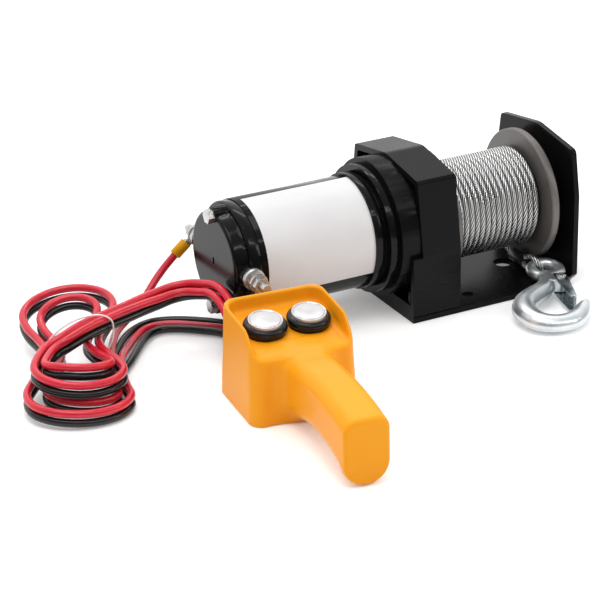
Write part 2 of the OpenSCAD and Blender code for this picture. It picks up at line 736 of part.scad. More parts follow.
// The outer layer of rope: one tube wound from the left flange to the right one
wind_angle0 = 200;
wrap_ring = [for (i = [0:wrap_count * 24]) let (a = wind_angle0 - i * 15)
    [wind_x0 + rope_d / 2 + 0.1 + i * wrap_pitch / 24,
    rope_line_r * cos(a), shaft_z + rope_line_r * sin(a)]];
wrap_least = min([for (i = [0:len(wrap_ring) - 25]) norm(wrap_ring[i] - wrap_ring[i + 24])]) - rope_d;
echo(least_gap_between_wraps = wrap_least, wraps = wrap_count);

module rope_winding() {
    color([0.72, 0.72, 0.72]) tube(wrap_ring, rope_d, 6, [1, 0, 0]);
}

// The rope's end: off the drum's underside, crimped round the eye of the hook
tail_line = concat([for (a = [-10:-10:-70]) [tail_x, tail_r * cos(a), shaft_z + tail_r * sin(a)]],
    [[tail_x, 6.5, 16], [tail_x, 1, 13.6], [tail_x, -3, 12.9], [tail_x, ferrule_y + ferrule_l / 2 + 0.2, ferrule_z]]);
loop_r = eye_wire_d / 2 + rope_d / 2 + 0.35;
loop_y = eye_at[1] + eye_line_r * cos(asin((loop_x - eye_at[0]) / eye_line_r));
ferrule_y0 = ferrule_y - ferrule_l / 2 - 0.7;
eye_back_z = eye_z + eye_line_r * sin(hook_tilt);
eye_loop = concat([[tail_x, ferrule_y0, ferrule_z + rope_d / 2 + 0.1],
    [(tail_x + loop_x) / 2, ferrule_y0 - 4, ferrule_z + rope_d / 2 + 1.4]],
    [for (a = [75:30:285]) [loop_x, loop_y + loop_r * cos(a), eye_back_z + loop_r * sin(a)]],
    [[(tail_x + loop_x) / 2, ferrule_y0 - 4, ferrule_z - rope_d / 2 - 1.4],
    [tail_x, ferrule_y0, ferrule_z - rope_d / 2 - 0.1]]);

module rope_tail() {
    color([0.7, 0.7, 0.7]) tube(tail_line, rope_d, 8, [1, 0, 0]);
}

module rope_eye() {
    color([0.7, 0.7, 0.7]) tube(eye_loop, rope_d, 8, [1, 0, 0]);
}

module rope_ferrule() {
    color([0.2, 0.2, 0.21]) translate([tail_x, ferrule_y + ferrule_l / 2, ferrule_z]) rotate([90, 0, 0])
        difference() {
            cylinder(h = ferrule_l, d = ferrule_d);
            translate([ferrule_wide, -ferrule_d, -cut]) cube(2 * ferrule_d);
        }
}

// Hook: forged, drawn in a plane that dips from the eye to the bowl
module in_hook_plane() {
    translate([0, eye_at[1], eye_z]) rotate([hook_tilt, 0, 0]) translate([0, -eye_at[1], 0]) children();
}

module hook_body() {
    n = 12;
    p = hook_line;
    points = [for (i = [0:len(p) - 1], k = [0:n - 1])
        let (d = path_dir(p, i), side = [-d[1], d[0]], a = k * 360 / n,
            high = hook_half[i] * (i < 4 ? 1 : hook_high_share))
        [p[i][0] + side[0] * hook_half[i] * cos(a), p[i][1] + side[1] * hook_half[i] * cos(a),
            high * sin(a)]];
    polyhedron(points, tube_faces(len(p), n));
}

module hook() {
    color([0.75, 0.77, 0.78]) in_hook_plane() difference() {
        union() {
            translate([eye_at[0], eye_at[1], 0]) rotate_extrude() translate([eye_line_r, 0])
                circle(d = eye_wire_d, $fn = 32);
            hook_body();
            translate([latch_pivot[0], latch_pivot[1], -latch_gap + 0.5])
                cylinder(h = 2 * latch_gap - 1, r = latch_boss_r);
            translate([36.5, -60, -latch_gap + 0.5]) rotate([0, 0, -39]) translate([0, -latch_boss_r, 0])
                cube([norm([7.9, 6.4]), 2 * latch_boss_r, 2 * latch_gap - 1]);
        }
        translate([latch_pivot[0], latch_pivot[1], -4 * latch_gap])
            cylinder(h = 8 * latch_gap, d = rivet_d + 2 * run_gap);
    }
}

latch_side = [[-4.8, -4.6], [4, -4.6], [latch_len, -2.2], [latch_len, 2.6], [4, 4.6], [-4.8, 4.6]];
module hook_latch() {
    color([0.7, 0.76, 0.8]) in_hook_plane() translate([latch_pivot[0], latch_pivot[1], 0])
        rotate([0, 0, latch_turn]) difference() {
            translate([0, 0, -latch_gap - latch_t]) linear_extrude(2 * (latch_gap + latch_t))
                polygon(latch_side);
            translate([-8, -8, -latch_gap]) cube([8 + 5.2, 20, 2 * latch_gap]);
            translate([4, -8, -latch_gap]) cube([40, 8 + 1.2, 2 * latch_gap]);
            translate([0, 0, -4 * latch_gap]) cylinder(h = 8 * latch_gap, d = rivet_d + 2 * run_gap);
        }
}

module latch_rivet() {
    color([0.8, 0.82, 0.83]) in_hook_plane() translate([latch_pivot[0], latch_pivot[1], 0]) {
        translate([0, 0, -latch_gap - latch_t]) cylinder(h = 2 * (latch_gap + latch_t), d = rivet_d);
        for (s = [0, 1]) mirror([0, 0, s]) translate([0, 0, latch_gap + latch_t + 0.05])
            cylinder(h = 1.3, d1 = 7, d2 = 5.4);
    }
}

// Shafts and gears
module armature_shaft() {
    color([0.6, 0.6, 0.62]) {
        on_shaft(bell_bearing_x0) cylinder(h = s1_x0 - bell_bearing_x0 + eps, d = shaft_d);
        on_shaft(s1_x0) spur(sun_z, stage1_w, 0);
    }
}

module armature_core() {
    color([0.35, 0.35, 0.37]) on_shaft(core_x0) difference() {
        cylinder(h = core_l, d = core_d);
        translate([0, 0, -cut]) cylinder(h = core_l + 2 * cut, d = shaft_d);
        for (k = [0:slot_count - 1]) rotate([0, 0, k * 360 / slot_count])
            translate([core_d / 2 - slot_depth, -slot_w / 2, -cut]) cube([slot_depth + cut, slot_w, core_l + 2 * cut]);
    }
}

module armature_windings() {
    color([0.7, 0.35, 0.15]) {
        for (k = [0:slot_count - 1]) on_shaft(core_x0) rotate([0, 0, k * 360 / slot_count])
            translate([core_d / 2 - slot_depth + run_gap, -slot_w / 2 + run_gap, -eps])
                cube([slot_depth - 2, slot_w - 2 * run_gap, core_l + 2 * eps]);
        shaft_ring(core_x0 - winding_over, core_x0, core_d - 6, shaft_d + 4);
        shaft_ring(core_x0 + core_l, core_x0 + core_l + winding_over, core_d - 6, shaft_d + 4);
    }
}

module commutator() {
    color([0.75, 0.45, 0.25]) on_shaft(comm_x0) difference() {
        cylinder(h = comm_l, d = comm_d);
        translate([0, 0, -cut]) cylinder(h = comm_l + 2 * cut, d = shaft_d);
        for (k = [0:comm_bars - 1]) rotate([0, 0, (k + 0.5) * 360 / comm_bars])
            translate([comm_d / 2 - 0.8, -0.3, -cut]) cube([2, 0.6, comm_l + 2 * cut]);
    }
}

// A planet carrier: plate, three pins towards the motor, and a sun or hub beyond
module carrier(x, t, w) {
    on_shaft(x) {
        cylinder(h = t, r = carrier_r);
        for (k = [0:planet_count - 1]) rotate([0, 0, k * 360 / planet_count])
            translate([orbit_r, 0, -w - stage_gap]) cylinder(h = w + stage_gap + eps, d = pin_d);
    }
}

module carrier_1() {
    color([0.55, 0.55, 0.57]) {
        carrier(c1_x0, carrier_t, stage1_w);
        on_shaft(c1_x0 + carrier_t - eps) spur(sun_z, stage_gap + stage2_w + eps, 0);
    }
}

module carrier_2() {
    color([0.55, 0.55, 0.57]) {
        carrier(c2_x0, carrier_t, stage2_w);
        on_shaft(c2_x0 + carrier_t - eps) spur(sun_z, stage_gap + stage3_w + eps, 0);
    }
}

module carrier_3() {
    color([0.55, 0.55, 0.57]) {
        carrier(c3_x0, carrier3_t, stage3_w);
        on_shaft(c3_x1 - eps) hex(hex_af, hex_l);
    }
}

module planet(x, w, k) {
    a = k * 360 / planet_count;
    color([0.65, 0.62, 0.55]) on_shaft(x) rotate([0, 0, a]) translate([orbit_r, 0, 0]) difference() {
        spur(planet_z, w, 180 - 180 / planet_z + sun_z * a / planet_z);
        translate([0, 0, -cut]) cylinder(h = w + 2 * cut, d = pin_d + 2 * run_gap);
    }
}

// Handset
module in_handset() {
    translate([handset_at[0], handset_at[1], 0]) rotate([0, 0, handset_turn]) children();
}

// Outline of the box at height z, inset by t
function box_ring(z, t) = let (w = box_w / 2 - box_draft * z - t, d = box_d / 2 - box_draft * z - t)
    rounded([[w, -d], [w, d], [-w, d], [-w, -d]], [for (i = [0:3]) max(box_corner - t, 2)], 5);

module box_loft(z0, z1, t) {
    low = box_ring(z0, t);
    high = box_ring(z1, t);
    n = len(low);
    polyhedron(concat([for (p = low) [p[0], p[1], z0]], [for (p = high) [p[0], p[1], z1]]),
        concat([[for (k = [0:n - 1]) k]],
            [for (k = [0:n - 1], h = [0, 1]) let (j = (k + 1) % n)
                h == 0 ? [k, k + n, j] : [j, k + n, j + n]],
            [[for (k = [n - 1:-1:0]) k + n]]));
}

// Half of the D-shaped section of the grip: flat top with round corners, round bottom
function grip_ring(y, t) = let (w = grip_w / 2 - t, r = 6 - t / 2,
    zt = grip_crown_z - 0.00196 * pow(y + 78, 2) - t,
    zb = max(grip_arch_z - 0.004 * pow(y + 80, 2), grip_low_z) + t)
    concat([for (a = [90:30:180]) [-w + r + r * cos(a), zt - r + r * sin(a)]],
        [for (a = [-165:25:-15]) [w * cos(a), zb + w + w * sin(a)]],
        [for (a = [0:30:90]) [w - r + r * cos(a), zt - r + r * sin(a)]]);

module grip_loft(t, back) {
    ys = [-24 + back, each [for (i = [1:9]) -24 + i * (grip_end_y + 24) / 10], grip_end_y + t];
    rings = [for (y = ys) grip_ring(y, t)];
    n = len(rings[0]);
    polyhedron([for (i = [0:len(ys) - 1], k = [0:n - 1]) [rings[i][k][0], ys[i], rings[i][k][1]]],
        tube_faces(len(ys), n));
}

panel_back_z = panel_front_z + (box_d - rim_wall) * tan(panel_slope);
module panel_space() {
    translate([0, -box_d / 2, panel_front_z]) rotate([panel_slope, 0, 0]) intersection() {
        translate([-box_w, -box_d / 2, 0]) cube([2 * box_w, 3 * box_d, box_h]);
        translate([0, 0, -box_h]) linear_extrude(3 * box_h) polygon(rounded([
            [box_w / 2 - rim_wall - 2, -box_d], [box_w / 2 - rim_wall - 2, box_d - rim_wall - 3],
            [rim_wall + 2 - box_w / 2, box_d - rim_wall - 3], [rim_wall + 2 - box_w / 2, -box_d]],
            [0, 9, 9, 0]));
    }
}

// Cuts the rim down to the panel at the front
module rim_slope_space() {
    low = panel_front_z - 1;
    rotate([90, 0, 90]) translate([0, 0, -box_w]) linear_extrude(2 * box_w) polygon(concat(
        [[-box_d, low], [-box_d, 2 * box_h], [box_d, 2 * box_h], [box_d, box_h - 0.5],
        [box_d / 4, box_h - 0.5]],
        [for (t = [1:-0.125:0]) [rim_fall[0] + (rim_fall[1] - rim_fall[0]) * t,
            low + (rim_high - low) * t * t * (3 - 2 * t)]]));
}

module on_panel() {
    for (s = [-1, 1]) translate([s * button_pitch / 2, 0, 0]) panel_frame() children();
}

// Frame with its origin on the panel at the button row and z along the buttons
module panel_frame() {
    translate([0, -box_d / 2, panel_front_z]) rotate([panel_slope, 0, 0])
        translate([0, (button_y + box_d / 2) / cos(panel_slope), 0]) children();
}

module handset_shell() {
    color([0.98, 0.63, 0.12]) in_handset() difference() {
        union() {
            difference() {
                box_loft(0, box_h, 0);
                panel_space();
                rim_slope_space();
            }
            grip_loft(0, 0);
        }
        difference() {
            translate([0, 0, -eps]) box_loft(0, box_h, shell_t);
            translate([0, -box_d / 2, panel_front_z - panel_t]) rotate([panel_slope, 0, 0])
                translate([-box_w, -box_d, 0]) cube([2 * box_w, 3 * box_d, box_h]);
        }
        on_panel() translate([0, 0, -box_h / 2]) cylinder(h = box_h, d = switch_d + 2 * run_gap);
        translate([gland_x, 0, gland_z]) rotate([-90, 0, 0]) cylinder(h = box_d, d = gland_od - 4);
        grip_loft(shell_t, -2);
    }
}

module handset_cover() {
    color([0.95, 0.6, 0.1]) in_handset() difference() {
        linear_extrude(cover_t) polygon(box_ring(0, shell_t + cover_gap));
        cover_screw_places() translate([0, 0, -cut]) {
            cylinder(h = cover_t + 2 * cut, d = screw_d + 2 * run_gap);
            cylinder(h = cut + 1.2, d = screw_head_d + 2 * run_gap);
        }
    }
}

module cover_screw_places() {
    for (sx = [-1, 1], sy = [-1, 1])
        translate([sx * (box_w / 2 - screw_inset - 2), sy * (box_d / 2 - screw_inset - 2), 0]) children();
}

module handset_screws() {
    color([0.6, 0.6, 0.6]) in_handset() cover_screw_places() {
        translate([0, 0, 0.1]) cylinder(h = 1, d = screw_head_d);
        translate([0, 0, 0.1]) cylinder(h = 12, d = screw_d);
    }
}

module switch_bodies() {
    color([0.12, 0.12, 0.12]) in_handset() on_panel() difference() {
        translate([0, 0, -switch_l]) cylinder(h = switch_l, d = switch_d);
        translate([0, 0, -8]) cylinder(h = 8 + cut, d = cap_d - 6);
    }
}

module switch_collars() {
    color([0.08, 0.08, 0.08]) in_handset() on_panel() difference() {
        rotate_extrude() polygon(concat([[0, 0.05], [collar_od / 2 - 1, 0.05]],
            [for (a = [-60:30:90]) [collar_od / 2 - 3 + 3 * cos(a), collar_h / 2 + (collar_h / 2 - 0.3) * sin(a)]],
            [[0, collar_h - 0.3]]));
        translate([0, 0, -cut]) cylinder(h = collar_h + 2 * cut, d = cap_d + 2 * cap_bore_gap);
    }
}

module button(s) {
    in_handset() translate([s * button_pitch / 2, 0, 0]) panel_frame() {
        translate([0, 0, button_travel + 0.4]) cylinder(h = collar_h + cap_proud - button_travel - 0.4, d = cap_d);
        translate([0, 0, -3]) cylinder(h = button_travel + 3.5, d = 8);
    }
}

module button_in() {
    color([0.9, 0.89, 0.88]) button(-1);
}

module button_out() {
    color([0.9, 0.89, 0.88]) button(1);
}

gland_y0 = box_d / 2 - box_draft * gland_z - shell_t - 1.5;
module cable_gland() {
    color([0.1, 0.1, 0.1]) in_handset() translate([gland_x, gland_y0, gland_z]) rotate([-90, 0, 0])
        difference() {
            union() {
                cylinder(h = 6, d = gland_od - 4.1);
                translate([0, 0, 4.7]) cylinder(h = gland_l, d1 = gland_od + 1, d2 = gland_od - 1);
                cylinder(h = 1, d = gland_od);
            }
            for (a = [0:90:270]) rotate([0, 0, a]) translate([lead_step / sqrt(2), 0, -cut])
                cylinder(h = 2 * gland_l, d = lead_d + 0.7);
        }
}

// Leads
// Centre of a pair of the hank at an angle of its waisted outline: each lobe has its own size,
// and the whole sinks to the floor
function ease(u) = let (v = max(0, min(1, u))) v * v * (3 - 2 * v);
function total(v, i = 0) = i < len(v) ? v[i] + total(v, i + 1) : [0, 0, 0];
function hank_change(a, pair) = total([for (q = hank_lobes)
    ease((a - q[0]) / q[2]) * ease((q[1] - a) / q[3]) * q[4][pair]]);
function hank_level(a) = hank_low_z + total([for (q = hank_drops)
    [0, 0, q[2] * (1 - ease((a - q[0]) / q[1]))]])[2];
function hank_point(a, pair) = let (k = hank_change(a, pair), x = hank_half_l * cos(a) * (1 + k[0]),
        y = sin(a) * (hank_waist + hank_lobe * cos(a) ^ 2 * (1 - hank_round * cos(a) ^ 2)) * (1 + k[1]))
    [hank_at[0] + x * cos(hank_turn) - y * sin(hank_turn),
    hank_at[1] + x * sin(hank_turn) + y * cos(hank_turn), hank_level(a) + k[2] * cos(a) ^ 2];
function pair_line(pair) = concat(arc_line, [for (i = [0:hank_rings])
    hank_point(hank_from + (hank_to - hank_from) * i / hank_rings, pair)]);
pair_lines = [pair_line(0), pair_line(1)];

// One lead of a pair, at an angle round the centre of the bundle of four; the bundle turns by
// an eighth between the arc, where it stands on edge, and the hank
function in_bundle(pair, angle) = [for (i = [0:len(pair_lines[pair]) - 1])
    let (d = path_dir(pair_lines[pair], i), n = unit([d[1], -d[0], 0]),
        roll = 45 * max(0, min(1, (len(arc_line) - 5 - i) / 5)), a = angle + roll)
    pair_lines[pair][i] + lead_step / sqrt(2) * (cos(a) * n + [0, 0, sin(a)])];
red_motor_line = concat(in_bundle(0, 135), tail_red_motor);
black_motor_line = concat(in_bundle(0, 225), tail_black_motor);
red_battery_line = concat(in_bundle(1, 45), tail_red_battery);
black_battery_line = concat(in_bundle(1, -45), tail_black_battery);

// Least clearance between two leads, and of a lead with its own later turn
function finer(p) = [for (i = [0:len(p) - 2], k = [0:3]) p[i] + (p[i + 1] - p[i]) * k / 4];
function between(p, q) = let (u = finer(p), v = finer(q)) min([for (a = u, b = v) norm(a - b)]) - lead_d;
function own_gap(p) = let (u = finer(p)) min([for (i = [0:len(u) - 1], j = [i + 16:1:len(u) - 1])
    norm(u[i] - u[j])]) - lead_d;
echo(lead_gaps = [between(red_motor_line, black_motor_line), between(red_motor_line, red_battery_line),
    between(black_motor_line, black_battery_line), between(red_battery_line, black_battery_line),
    between(red_motor_line, black_battery_line), between(black_motor_line, red_battery_line)],
    own = [own_gap(red_motor_line), own_gap(black_motor_line), own_gap(red_battery_line),
    own_gap(black_battery_line)]);

module lead_red_motor() {
    color([0.85, 0.12, 0.17]) tube(red_motor_line, lead_d, lead_sides);
}

module lead_black_motor() {
    color([0.1, 0.1, 0.1]) tube(black_motor_line, lead_d, lead_sides);
}

module lead_red_battery() {
    color([0.85, 0.12, 0.17]) tube(red_battery_line, lead_d, lead_sides);
}

module lead_black_battery() {
    color([0.1, 0.1, 0.1]) tube(black_battery_line, lead_d, lead_sides);
}

// Ring lugs: the ring lies at the origin and the barrel runs along +X
module lug(bore) {
    difference() {
        union() {
            cylinder(h = lug_t, r = lug_r);
            translate([0, -lug_barrel_d / 2, 0]) cube([sleeve_x0, lug_barrel_d, lug_t]);
            translate([sleeve_x0 - 1.5, 0, lug_barrel_d / 2]) rotate([0, 90, 0])
                cylinder(h = lug_neck - sleeve_x0 + 1.4, d = lug_barrel_d);
        }
        translate([0, 0, -cut]) cylinder(h = lug_t + 2 * cut, d = bore);
    }
}

module sleeve() {
    translate([sleeve_x0, 0, lug_barrel_d / 2]) rotate([0, 90, 0]) difference() {
        cylinder(h = sleeve_l, d = sleeve_d);
        translate([0, 0, -cut]) cylinder(h = sleeve_l + 2 * cut, d = lead_d + 0.1);
    }
}

module at_front_lug() {
    terminal_at(1) translate([0, 0, lug_z]) rotate([0, 0, -90]) children();
}

module at_back_lug() {
    terminal_at(-1) translate([0, 0, lug_z]) rotate([0, 0, back_lug_turn]) children();
}

module at_floor_lug(x) {
    translate([x, floor_lug_y, floor_lug_z]) rotate([0, 0, 90]) children();
}

module motor_lugs() {
    color([0.8, 0.78, 0.72]) {
        at_front_lug() lug(term_stud_d + 2 * run_gap);
        at_back_lug() lug(term_stud_d + 2 * run_gap);
    }
}

module battery_lugs() {
    color([0.8, 0.78, 0.72]) for (p = [tail_red_battery, tail_black_battery])
        at_floor_lug(p[len(p) - 1][0]) lug(lug_bore);
}

module lug_sleeves() {
    color([0.95, 0.72, 0.1]) {
        at_front_lug() sleeve();
        at_back_lug() sleeve();
        for (p = [tail_red_battery, tail_black_battery]) at_floor_lug(p[len(p) - 1][0]) sleeve();
    }
}

// Wire tie twisted round the waist of the hank
module hank_tie() {
    color([0.95, 0.95, 0.95]) tube([for (p = tie_line) [hank_at[0] + p[0] * sin(hank_turn),
        hank_at[1] - p[0] * cos(hank_turn), p[1]]], tie_t, 8, [cos(hank_turn), sin(hank_turn), 0]);
}

frame_bracket();
housing_screws();
gear_housing();
ring_gear();
motor_drive_end();
motor_tube();
motor_label();
motor_magnets();
end_bell();
through_bolts();
motor_bearings();
brush_gear();
terminal_studs();
terminal_hardware();
drum_bushes();
clutch_housing();
clutch_screws();
clutch_knob();
armature_shaft();
armature_core();
armature_windings();
commutator();
carrier_1();
carrier_2();
carrier_3();
planet(s1_x0, stage1_w, 0);  // planet_1a
planet(s1_x0, stage1_w, 1);  // planet_1b
planet(s1_x0, stage1_w, 2);  // planet_1c
planet(s2_x0, stage2_w, 0);  // planet_2a
planet(s2_x0, stage2_w, 1);  // planet_2b
planet(s2_x0, stage2_w, 2);  // planet_2c
planet(s3_x0, stage3_w, 0);  // planet_3a
planet(s3_x0, stage3_w, 1);  // planet_3b
planet(s3_x0, stage3_w, 2);  // planet_3c
drum();
rope_inner_layers();
rope_winding();
rope_tail();
rope_eye();
rope_ferrule();
hook();
hook_latch();
latch_rivet();
handset_shell();
handset_cover();
handset_screws();
switch_bodies();
switch_collars();
button_in();
button_out();
cable_gland();
lead_red_motor();
lead_black_motor();
lead_red_battery();
lead_black_battery();
motor_lugs();
battery_lugs();
lug_sleeves();
hank_tie();
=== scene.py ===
import math

import bmesh
import bpy
import numpy as np
import openvdb
from mathutils import Matrix, Vector


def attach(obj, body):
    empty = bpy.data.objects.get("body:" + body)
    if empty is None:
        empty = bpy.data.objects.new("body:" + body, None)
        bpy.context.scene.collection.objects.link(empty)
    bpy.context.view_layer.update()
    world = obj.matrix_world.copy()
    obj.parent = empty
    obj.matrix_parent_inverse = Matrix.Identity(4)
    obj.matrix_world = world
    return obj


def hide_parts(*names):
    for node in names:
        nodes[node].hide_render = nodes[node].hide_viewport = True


mm = 0.001
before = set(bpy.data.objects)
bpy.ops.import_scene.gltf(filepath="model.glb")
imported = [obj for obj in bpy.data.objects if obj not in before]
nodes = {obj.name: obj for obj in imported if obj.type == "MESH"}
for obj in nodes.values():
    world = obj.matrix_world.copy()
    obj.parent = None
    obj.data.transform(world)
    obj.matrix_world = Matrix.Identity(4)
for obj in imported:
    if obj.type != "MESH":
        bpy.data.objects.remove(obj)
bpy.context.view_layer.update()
scene = bpy.context.scene
scene.view_settings.view_transform = "Standard"
print("frame loaded:", len(nodes), "nodes")

# Camera, at the photograph's place and lens

camera = {
    "at": (-808.76 * mm, -1330.99 * mm, 688.833 * mm),
    "right": (0.886522, -0.4622685, -0.0196583),
    "forward": (0.4139114, 0.8113393, -0.4128024),
    "lens": 139.94,
    "sensor": 36,
    "clipEnd": 20,
}


def placeCamera(spec):
    data = bpy.data.cameras.new("photoCamera")
    data.lens = spec["lens"]
    data.sensor_width = spec["sensor"]
    data.clip_end = spec["clipEnd"]
    holder = bpy.data.objects.new("photoCamera", data)
    scene.collection.objects.link(holder)
    right, ahead = Vector(spec["right"]), Vector(spec["forward"])
    up = right.cross(ahead)
    turn = Matrix((right, up, -ahead)).transposed()
    holder.matrix_world = Matrix.Translation(spec["at"]) @ turn.to_4x4()
    scene.camera = holder


placeCamera(camera)


# Finishes. Each one has a slow change of colour, a change of gloss and a fine grain.


def newFinish(name):
    finish = bpy.data.materials.new(name)
    finish.use_nodes = True
    return finish, finish.node_tree.nodes, finish.node_tree.links


def noiseAt(tree, links, coords, size, detail):
    noise = tree.new("ShaderNodeTexNoise")
    noise.inputs["Scale"].default_value = 1 / size
    noise.inputs["Detail"].default_value = detail
    links.new(coords, noise.inputs["Vector"])
    return noise.outputs["Fac"]


def spread(tree, links, source, low, high, fromLow=0.3, fromHigh=0.7):
    remap = tree.new("ShaderNodeMapRange")
    remap.inputs["From Min"].default_value = fromLow
    remap.inputs["From Max"].default_value = fromHigh
    remap.inputs["To Min"].default_value = low
    remap.inputs["To Max"].default_value = high
    links.new(source, remap.inputs["Value"])
    return remap.outputs["Result"]


def blendColours(tree, links, amount, dark, light):
    mix = tree.new("ShaderNodeMix")
    mix.data_type = "RGBA"
    first, second = [s for s in mix.inputs if s.type == "RGBA"]
    first.default_value = (*dark, 1)
    second.default_value = (*light, 1)
    links.new(amount, mix.inputs["Factor"])
    return [s for s in mix.outputs if s.type == "RGBA"][0]


# patch is the size of the colour's clouds, grain and depth are the grain's size and height, in metres
def makeFinish(name, dark, light, rough, patch=0.03, grain=0.0006, depth=0.00004, metal=0.0,
               roughSpread=0.06, specular=0.5):
    finish, tree, links = newFinish(name)
    shader = tree["Principled BSDF"]
    where = tree.new("ShaderNodeTexCoord").outputs["Object"]
    cloud = noiseAt(tree, links, where, patch, 4)
    tint = blendColours(tree, links, spread(tree, links, cloud, 0, 1), dark, light)
    links.new(tint, shader.inputs["Base Color"])
    gloss = spread(tree, links, cloud, rough - roughSpread, rough + roughSpread)
    links.new(gloss, shader.inputs["Roughness"])
    bump = tree.new("ShaderNodeBump")
    bump.inputs["Distance"].default_value = depth
    bump.inputs["Strength"].default_value = 0.6
    links.new(noiseAt(tree, links, where, grain, 2), bump.inputs["Height"])
    links.new(bump.outputs["Normal"], shader.inputs["Normal"])
    shader.inputs["Metallic"].default_value = metal
    shader.inputs["Specular IOR Level"].default_value = specular
    return finish


# Painted shade: the colour falls to a share of itself where the mesh's attribute is low, darkening the
# grooves between the strands where shade falls
def paintGrooveShade(finish, attribute, low, high, darkest):
    tree, links = finish.node_tree.nodes, finish.node_tree.links
    colour = tree["Principled BSDF"].inputs["Base Color"]
    plain = colour.links[0].from_socket
    crown = tree.new("ShaderNodeAttribute")
    crown.attribute_name = attribute
    shade = tree.new("ShaderNodeVectorMath")
    shade.operation = "SCALE"
    links.new(plain, shade.inputs[0])
    links.new(spread(tree, links, crown.outputs["Fac"], darkest, 1, low, high), shade.inputs["Scale"])
    links.new(shade.outputs[0], colour)


finishSpecs = {
    "framePaint": {"dark": (0.003, 0.003, 0.0035), "light": (0.005, 0.005, 0.0055), "rough": 0.26,
                   "patch": 0.05, "grain": 0.0012, "depth": 0.00002, "roughSpread": 0.04, "specular": 0.1},
    "castPaint": {"dark": (0.003, 0.003, 0.0035), "light": (0.005, 0.005, 0.0055), "rough": 0.26,
                  "patch": 0.04, "grain": 0.0007, "depth": 0.00003, "roughSpread": 0.05, "specular": 0.11},
    "motorPaint": {"dark": (0.003, 0.003, 0.0035), "light": (0.005, 0.005, 0.0055), "rough": 0.16,
                   "patch": 0.06, "grain": 0.0015, "depth": 0.00001, "roughSpread": 0.04, "specular": 0.16},
    "label": {"dark": (0.65, 0.64, 0.645), "light": (0.72, 0.712, 0.717), "rough": 0.36, "patch": 0.05,
              "grain": 0.001, "depth": 0.000006, "specular": 0.2},
    "ferrite": {"dark": (0.03, 0.03, 0.032), "light": (0.06, 0.06, 0.062), "rough": 0.7},
    "darkSteel": {"dark": (0.05, 0.05, 0.055), "light": (0.11, 0.11, 0.115), "rough": 0.38, "metal": 0.9},
    "gearSteel": {"dark": (0.32, 0.32, 0.33), "light": (0.46, 0.46, 0.47), "rough": 0.32, "patch": 0.01,
                  "grain": 0.0004, "depth": 0.00002, "metal": 1.0},
    "zinc": {"dark": (0.46, 0.455, 0.445), "light": (0.62, 0.612, 0.6), "rough": 0.3, "patch": 0.01,
             "grain": 0.0005, "depth": 0.00002, "metal": 0.85},
    "brushBoard": {"dark": (0.12, 0.07, 0.03), "light": (0.2, 0.12, 0.05), "rough": 0.6},
    "bronze": {"dark": (0.35, 0.22, 0.1), "light": (0.5, 0.33, 0.15), "rough": 0.4, "metal": 1.0},
    "blackPlastic": {"dark": (0.005, 0.005, 0.0055), "light": (0.008, 0.008, 0.0085), "rough": 0.24,
                     "patch": 0.02, "grain": 0.0005, "depth": 0.00001, "specular": 0.3},
    "copper": {"dark": (0.42, 0.16, 0.07), "light": (0.62, 0.27, 0.13), "rough": 0.35, "patch": 0.01,
               "metal": 1.0},
    "drumPaint": {"dark": (0.125, 0.116, 0.11), "light": (0.17, 0.159, 0.152), "rough": 0.44, "patch": 0.03,
                  "grain": 0.0008, "depth": 0.00004, "metal": 0.5},
    "ropeWire": {"dark": (0.74, 0.74, 0.735), "light": (0.86, 0.86, 0.85), "rough": 0.28, "patch": 0.03,
                 "grain": 0.0003, "depth": 0.00001, "metal": 0.9},
    "hookZinc": {"dark": (0.6, 0.64, 0.665), "light": (0.76, 0.785, 0.8), "rough": 0.34, "patch": 0.012,
                 "grain": 0.0016, "depth": 0.00005, "metal": 0.9},
    "orangePlastic": {"dark": (0.89, 0.33, 0.008), "light": (0.93, 0.37, 0.011), "rough": 0.36,
                      "patch": 0.06, "grain": 0.0009, "depth": 0.00001, "specular": 0.17},
    "latchSteel": {"dark": (0.32, 0.38, 0.4), "light": (0.5, 0.55, 0.57), "rough": 0.26, "patch": 0.01,
                   "grain": 0.0012, "depth": 0.00003, "metal": 1.0},
    "buttonCap": {"dark": (0.52, 0.508, 0.515), "light": (0.6, 0.59, 0.595), "rough": 0.22, "patch": 0.01,
                  "grain": 0.001, "depth": 0.000004, "metal": 0.5},
    "blackRubber": {"dark": (0.01, 0.01, 0.01), "light": (0.018, 0.018, 0.018), "rough": 0.55},
    "redSheath": {"dark": (0.56, 0.008, 0.026), "light": (0.66, 0.014, 0.036), "rough": 0.22, "patch": 0.02,
                  "grain": 0.0016, "depth": 0.00003, "roughSpread": 0.04},
    "blackSheath": {"dark": (0.005, 0.005, 0.006), "light": (0.009, 0.009, 0.01), "rough": 0.22,
                    "patch": 0.02, "grain": 0.0016, "depth": 0.00003, "roughSpread": 0.04,
                    "specular": 0.45},
    "yellowSleeve": {"dark": (0.6, 0.26, 0.001), "light": (0.68, 0.32, 0.002), "rough": 0.38, "patch": 0.01,
                     "grain": 0.0008, "depth": 0.00002, "specular": 0.15},
    "tieWhite": {"dark": (0.72, 0.72, 0.72), "light": (0.85, 0.85, 0.85), "rough": 0.5, "patch": 0.01},
}
finishes = {name: makeFinish(name, **spec) for name, spec in finishSpecs.items()}
# Painted shade in the rope's grooves: the strand colour darkens where the skin faces into the rope
paintGrooveShade(finishes["ropeWire"], "crown", low=0.25, high=0.95, darkest=0.06)
print("finishes made:", len(finishes))


# Meshes


def addObject(name, mesh, finish=None):
    made = bpy.data.objects.new(name, mesh)
    scene.collection.objects.link(made)
    if finish:
        mesh.materials.clear()
        mesh.materials.append(finishes[finish])
    return made


